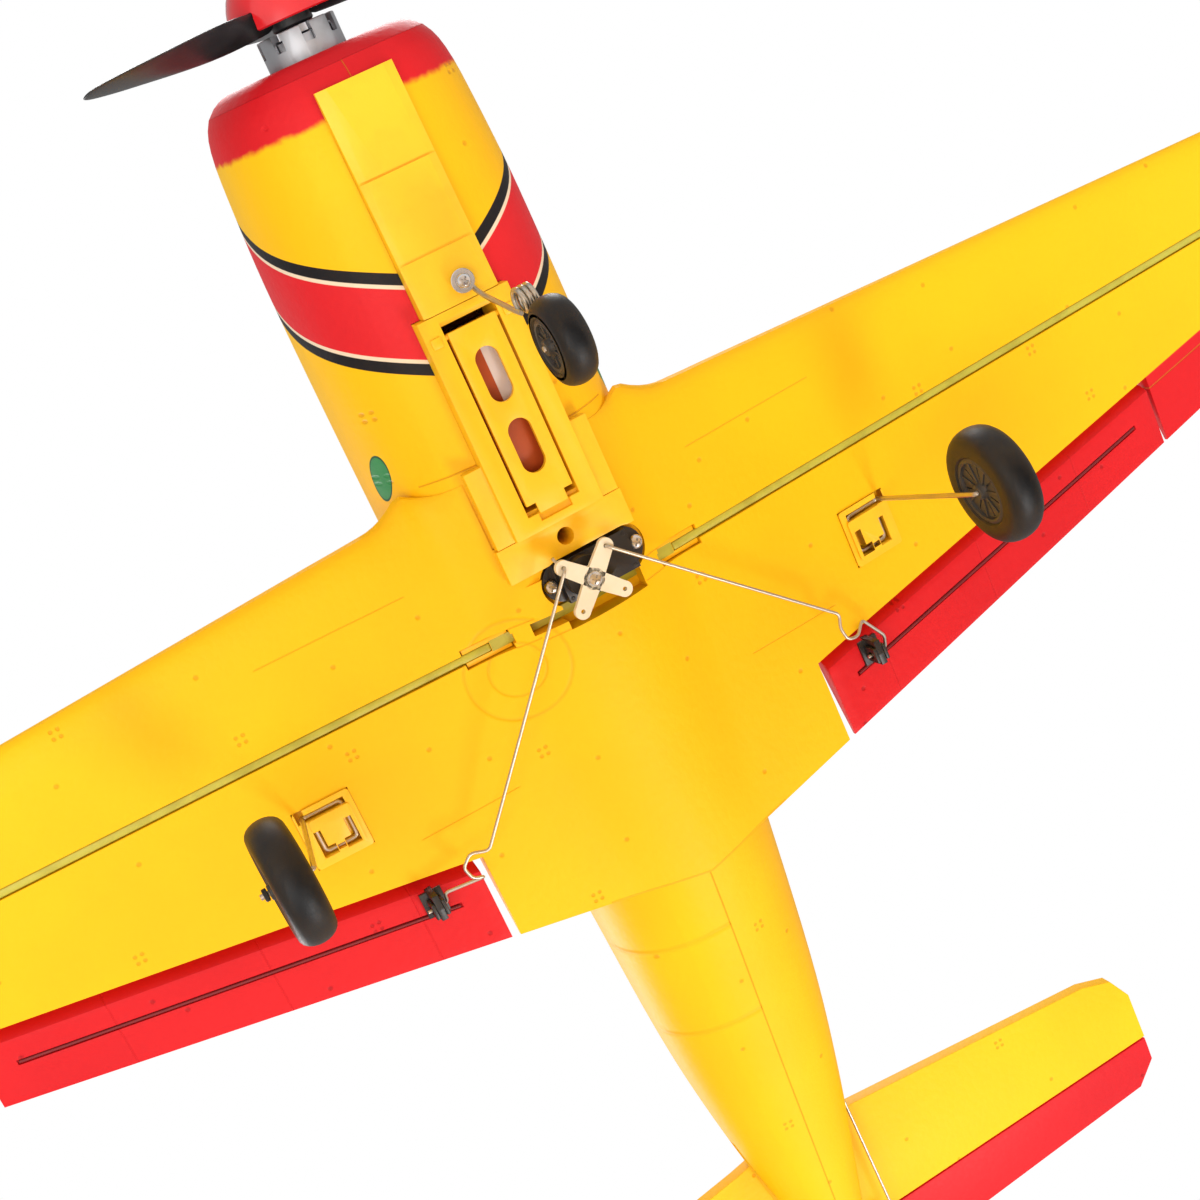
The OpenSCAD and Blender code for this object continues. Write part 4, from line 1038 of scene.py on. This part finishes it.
def make_gear():
    for name, side in SIDES.items():
        make_main_gear(name, side)
    collars = []
    for side in SIDES.values():
        start = (MAIN_X + MAIN_WIDTH / 2 + 0.9, MAIN_Y, GROUND + MAIN_R)
        collar = turned("collar", [(0.86, 0), (1.6, 0), (1.8, 0.2), (1.8, 1.1), (1.6, 1.3), (0.86, 1.3)],
                        start, "X", 48)
        collars.append(mirrored(collar, side))
    hand_over(join("axle_collars", *collars), "airframe", BLACK, "wheel_collars")

    # the nose leg: an eye under the washer, down to its coil, and on to the axle
    eye = [(2 + 2.1 * c, -97.3 + 2.1 * s, -10.2) for c, s in map(bearing, range(300, 10, -10))]
    turns, pitch, radius, middle = 3, 1.6, 3.1, (10, -88.6, -31)
    coil = [(middle[0] - turns * pitch / 2 + pitch * k / 32,
             middle[1] + radius * math.cos(2 * math.pi * k / 32),
             middle[2] + radius * math.sin(2 * math.pi * k / 32)) for k in range(32 * turns + 1)]
    foot_x, foot_z = NOSE_X + 6.6, GROUND + NOSE_R
    down = rounded([eye[-1], (4.2, -94.2, -10.2), (4.9, -91.8, -14), (7.1, -86.4, -27.5), coil[0]], 1.2)
    to_axle = rounded([coil[-1], (14.2, -85.8, -32), (foot_x, -84.8, -34.5),
                       (foot_x, NOSE_Y - 0.9, foot_z + 1), (foot_x - 1.6, NOSE_Y, foot_z)], 1.0)
    leg = wire("leg", eye + down[1:-1] + coil + to_axle[1:], 0.75)
    axle = rod("axle", 0.8, (NOSE_X - 5.9, NOSE_Y, foot_z), foot_x - NOSE_X + 5, "X", 32, 0.2)
    hand_over(join("nose_wire_leg", leg, axle), "airframe", STEEL, "nose_leg")
    screw = cross_screw("nose_leg_screw", (2, -97.3, -13.2), 4.2, 1.5, 1.9, 9, 6.6)
    hand_over(screw, "airframe", CHROME, "nose_gear_screw")


# ---- nose ----

PROP_Z, PROP_Y = 33, -178


def blade_rows():
    stations = [(5.5, 7, 55), (10, 8, 49), (14, 9.5, 44), (20, 12, 37), (28, 14, 31), (36, 14.6, 26),
                (44, 14.5, 22), (52, 13.4, 19), (60, 12, 17), (66, 10.2, 15), (71, 8, 14), (73.6, 5.6, 13.5),
                (74.7, 3.6, 13)]
    rows = []
    for radius, chord, pitch in stations:
        c, s = bearing(pitch)
        row = []
        for k in range(20):
            a = 2 * math.pi * k / 20
            across = chord / 2 * math.cos(a)
            lift = chord * 0.08 * (1 + 0.2 * math.cos(a)) * math.sin(a)
            row.append(Vector((radius, across * s + lift * c, -across * c + lift * s)))
        rows.append(row + [row[0]])
    return rows


def round_shaft(piece, degrees, ahead=0):
    """Turns a piece round the propeller's shaft and moves it to its place along the shaft."""
    return move(turn(piece, degrees, "Y"), 0, PROP_Y + ahead, PROP_Z)


def make_nose():
    blades = skin("blade", blade_rows())
    modify(blades, "SUBSURF", levels=1, render_levels=1)
    parts = [blades] + [turn(copy(blades, "blade"), 120 * k, "Y") for k in (1, 2)]
    for part in parts:
        round_shaft(part, 30)
    hub = turned("hub", [(1.52, 0), (5.4, 0), (6, 0.6), (6, 5.2), (5.4, 5.8), (1.52, 5.8)],
                 (0, PROP_Y - 2, PROP_Z), "Y", 48)
    hand_over(smooth(join("propeller_blades", *parts, hub), 40), "propeller", PROP,
              "propeller")

    radius, length = 17, 18.8
    nose = [(radius * s ** 0.9, length * (1 - c)) for c, s in map(bearing, range(8, 90, 8))]
    outside = [(0, 0), *nose, (radius, length - 0.4), (radius - 0.4, length)]
    inside = [(radius - 1.4, length), (radius - 1.4, length - 2), (7.25, length - 2), (7.25, 6), (0, 4)]
    cone = turned("spinner_cone", outside + inside, (0, PROP_Y - 17.2, PROP_Z), "Y", 72)
    slots = [round_shaft(block("slot", (7.4, -3.6, -4), (30, 6, 4), 0.5), 120 * k + 30) for k in range(3)]
    hand_over(smooth(cut(cone, *slots), 30), "propeller", GLOSS_RED, "spinner")

    cad_piece("prop_nut", "propeller_nut", "propeller", CHROME, 0.3)
    bell = from_cad("motor_bell", "motor_can", 0.35)
    vents = [round_shaft(block("vent", (7.6, -3, -1.6), (13, 3, 1.6), 0.4), 45 * k, 6) for k in range(8)]
    hand_over(smooth(cut(bell, *vents)), "propeller", ALUMINIUM, "motor_bell")
    cad_piece("motor_base", "motor_stator", "airframe", ALUMINIUM, 0.25)
    cad_piece("motor_mount", "firewall_mount", "airframe", MOUNT, 0.4)
    screws = []
    for k in range(4):
        c, s = bearing(45 + 90 * k)
        screw = cross_screw("mount", (0, 0, 0), 3.6, 1.6, 1.9, 5)
        turn(turn(screw, 180, "X"), -90, "X")
        screws.append(move(screw, 9 * c, -152.35, PROP_Z + 9 * s))
    hand_over(join("mount_screw_set", *screws), "airframe", CHROME, "mount_screws")


# ---- canopy and tail ----

def canopy_row(y, inset=0.0):
    u = (y - 16) / 62
    width = (19 - inset) * math.sqrt(max(0.02, 1 - abs(u) ** 2.4))
    height = (22 - inset) * max(0.01, 1 - abs(u) ** (3.2 if u < 0 else 2)) ** 0.8
    return [Vector((width * c, y, 71.6 + height * s)) for c, s in map(bearing, range(0, 181, 6))]


def make_canopy():
    ys = [-45.4, -44.4, -43, -41, -38, -34, -29, -22, -14, *range(-5, 60, 7), 64, 68, 71, 74, 76, 77.2]
    glass = skin("canopy_glass", [canopy_row(y) for y in ys], closed=False, capped=False)
    modify(glass, "SOLIDIFY", thickness=1.1, offset=-1 if glass.data.polygons[200].normal.z > 0 else 1)
    hand_over(smooth(glass, 50), "airframe", SMOKED, "canopy")
    hoops = []
    for y in (-24, 8, 38):
        path = [p + Vector((0, 0, -0.1)) for p in canopy_row(y, -0.15)]
        hoops.append(wire("hoop", path, 0.75))
    for side in (-1, 1):
        rail = [Vector((side * (canopy_row(y)[0].x + 0.15), y, 72.0)) for y in ys]
        hoops.append(wire("rail", rail, 0.7))
    hand_over(join("canopy_frame", *hoops), "airframe", FOAM_PLAIN)
    cad_piece("cockpit_deck", "cockpit_floor", "airframe", COCKPIT, 0.5)


def make_tail():
    tail = [("stabiliser", "tailplane_foam", "airframe", FOAM_PLAIN, 1.7),
            ("fin", "fin_foam", "airframe", FOAM_PLAIN, 1.6),
            ("elevator", "elevator_foam", "elevator", FOAM_RED, 0.5),
            ("rudder", "rudder_foam", "rudder", FOAM_RED, 0.5),
            ("elevator_horn", "elevator_control_horn", "elevator", BLACK, 0.25),
            ("rudder_horn", "rudder_control_horn", "rudder", BLACK, 0.25),
            ("elevator_joiner", "elevator_wire", "elevator", STEEL, 0.1),
            ("elevator_servo", "elevator_servo_case", "airframe", SERVO_BLACK, 0.3),
            ("rudder_servo", "rudder_servo_case", "airframe", SERVO_BLACK, 0.3),
            ("elevator_servo_arm", "elevator_arm_nylon", "elevator_arm", NYLON, 0.25),
            ("rudder_servo_arm", "rudder_arm_nylon", "rudder_arm", NYLON, 0.25),
            ("receiver", "receiver_case", "airframe", BLACK, 0.8),
            ("speed_controller", "speed_controller_board", "airframe", BOARD, 0.6)]
    for node, name, body, finish, rounding in tail:
        cad_piece(node, name, body, finish, rounding, 3)
    level, exit_z = 50.6, 44.4
    routes = {
        "elevator": [(20.6, 26, level - 4.2), (20.6, 26, level), (20.2, 266, exit_z), (15.6, 266, exit_z)],
        "rudder": [(-20.6, 26, level - 4.2), (-20.6, 26, level), (-9.6, 283, 46.9), (-9.6, 283, 51.5)]}
    for name, route in routes.items():
        link = wire(f"{name}_rod", rounded(route, 1.2), ROD_RADIUS)
        hand_over(link, f"{name}_pushrod", STEEL, f"{name}_pushrod")


# ---- camera, light and floor ----

def aim(item, place, target):
    item.location = place
    item.rotation_euler = (Vector(target) - Vector(place)).to_track_quat("-Z", "Y").to_euler()


def softbox(name, place, target, size, power):
    light = bpy.data.lights.new(name, "AREA")
    light.shape, light.size, light.energy = "DISK", size, power
    aim(new_object(name, light), place, target)


def make_stage():
    scene = bpy.context.scene
    scene.view_settings.view_transform = "Standard"
    lens = bpy.data.cameras.new("camera")
    lens.lens, lens.sensor_width, lens.clip_start, lens.clip_end = 57.885, 36, 0.02, 20
    camera = new_object("camera", lens)
    right, down = Vector((0.8501094, 0.3960408, -0.3470816)), Vector((-0.4669564, 0.8716092, -0.1491615))
    ahead = right.cross(down)
    turned_to = Matrix((right, -down, -ahead)).transposed().to_4x4()
    camera.matrix_world = Matrix.Translation(ORIGIN + Vector((-0.130985, -0.1568, -0.509696))) @ turned_to
    scene.camera = camera

    # the floor shows from above and is clear from below, where the camera looks up at the belly
    clear()
    bpy.ops.mesh.primitive_plane_add(size=12, location=(0, 0, -0.0004))
    floor = bpy.context.object
    floor.name = "floor"
    floor.visible_shadow = False
    paper = bpy.data.materials.new("floor_paper")
    paper.use_nodes = True
    tree = paper.node_tree
    matte = tree.nodes["Principled BSDF"]
    matte.inputs["Base Color"].default_value = (0.86, 0.86, 0.85, 1)
    matte.inputs["Roughness"].default_value = 0.9
    place = add_node(tree, "ShaderNodeTexCoord").outputs["Object"]
    reach = add_node(tree, "ShaderNodeVectorMath", {"operation": "LENGTH"}, {0: place})
    fade = add_node(tree, "ShaderNodeMapRange", {"interpolation_type": "SMOOTHSTEP"},
                    {0: reach.outputs["Value"], 1: 0.5, 2: 2.2})
    underside = add_node(tree, "ShaderNodeNewGeometry").outputs["Backfacing"]
    gone = add_node(tree, "ShaderNodeMath", {"operation": "MAXIMUM"}, {0: fade.outputs[0], 1: underside})
    nothing = add_node(tree, "ShaderNodeBsdfTransparent").outputs[0]
    either = add_node(tree, "ShaderNodeMixShader", {}, {0: gone.outputs[0], 1: matte.outputs[0], 2: nothing})
    tree.links.new(either.outputs[0], tree.nodes["Material Output"].inputs["Surface"])
    floor.data.materials.append(paper)

    world = bpy.data.worlds.new("studio")
    scene.world = world
    world.use_nodes = True
    tree = world.node_tree
    air = tree.nodes["Background"]
    ray = add_node(tree, "ShaderNodeLightPath").outputs["Is Camera Ray"]
    level = add_node(tree, "ShaderNodeMapRange", {}, {0: ray, 3: 0.42, 4: 1.0})
    tree.links.new(level.outputs[0], air.inputs["Strength"])
    air.inputs["Color"].default_value = (1, 1, 1, 1)

    belly = ORIGIN + Vector((0, 0, -0.01))
    softbox("key", (0.2, 0.85, -0.95), belly, 0.42, 7.6)
    softbox("fill", (-0.75, -0.1, -1.25), belly, 1.0, 8.5)
    softbox("top", (0.5, -0.9, 1.6), (0, 0, 0.05), 1.0, 22)
    softbox("top_back", (-0.9, 0.8, 1.3), (0, 0, 0.05), 0.9, 12)


# ---- the build ----

make_stage()

# each finish is a material and the slot that it belongs to
FOAM_WING = wing_foam(), "foam_yellow"
FOAM_AILERON = aileron_foam(), "foam_red"
FOAM_BODY = fuselage_foam(), "foam_yellow"
plain_foam = moulded_foam("plain_yellow_foam", YELLOW, YELLOW_DEEP, YELLOW_SEAM)
FOAM_PLAIN = plain_foam.done(FOAM_BUMP), "foam_yellow"
FOAM_RED = moulded_foam("plain_red_foam", RED, RED_DEEP, RED_SEAM).done(FOAM_BUMP), "foam_red"
yellow = plastic("yellow_plastic", tint(254, 199, 22), 0.42, 0.3, tint(250, 184, 10))
YELLOW_PLASTIC = yellow.done(), "yellow_plastic"
DARK_RED = plastic("stiffener_red", tint(120, 8, 16), 0.5, 0.4).done(), "foam_red"
SPAR = plastic("spar_lime", LIME, 0.42, 0.5, LIME_DEEP).done(), "spar_rod"
BLACK = plastic("black_plastic", tint(34, 33, 34), 0.38, 0.5, tint(48, 46, 46)).done(), "black_plastic"
SERVO_BLACK = plastic("servo_black", tint(30, 31, 36), 0.3, 0.35, tint(46, 46, 50)).done(), "black_plastic"
HUB = plastic("wheel_hub", tint(62, 60, 58), 0.5, 0.5, tint(76, 73, 70)).done(), "wheel_hub"
NYLON = plastic("white_nylon", tint(233, 226, 206), 0.36, 0.3, tint(222, 211, 186), Subsurface_Weight=0.15,
                Subsurface_Radius=(0.002, 0.0018, 0.0012)).done(), "white_nylon"
laminate = plastic("circuit_board", tint(24, 92, 54), 0.35, 0.6, tint(150, 120, 40), 1.6)
BOARD = laminate.done(FOAM_BUMP), "circuit_board"
PROP = plastic("propeller_plastic", tint(40, 40, 42), 0.34, 0.4, tint(54, 54, 56)).done(), "propeller_plastic"
GLOSS_RED = plastic("spinner_red", tint(222, 28, 36), 0.2, 0.15, tint(205, 20, 30),
                    Coat_Weight=0.5).done(GLOSS_BUMP), "red_plastic"
STEEL = metal("steel_wire", tint(200, 194, 182), 0.26, (1, 1, 0.3), tint(172, 164, 148)), "steel_wire"
CHROME = metal("chrome_screws", tint(212, 212, 214), 0.14), "chrome_screws"
ALUMINIUM = metal("aluminium", tint(190, 191, 194), 0.3, (1, 0.2, 1)), "motor_metal"
matte_black = plastic("matte_black", tint(44, 44, 45), 0.62, 0.8, tint(60, 60, 60)).done()
MOUNT = matte_black, "mount_plastic"
COCKPIT = matte_black, "cockpit_plastic"
RUBBER = tyre_rubber(), "tyre_rubber"
BATTERY = battery_wrap(), "battery_wrap"
SMOKED = smoked_plastic(), "canopy_plastic"
JOINER = joiner_plastic(), "spar_rod"

make_wing()
make_spars()
for side_name, side_sign in SIDES.items():
    make_aileron(side_name, side_sign)
make_fuselage()
make_cowl_ring()
make_belly()
make_servo()
make_servo_horn()
make_pushrods()
make_wheels()
make_gear()
make_nose()
make_canopy()
make_tail()

clear()
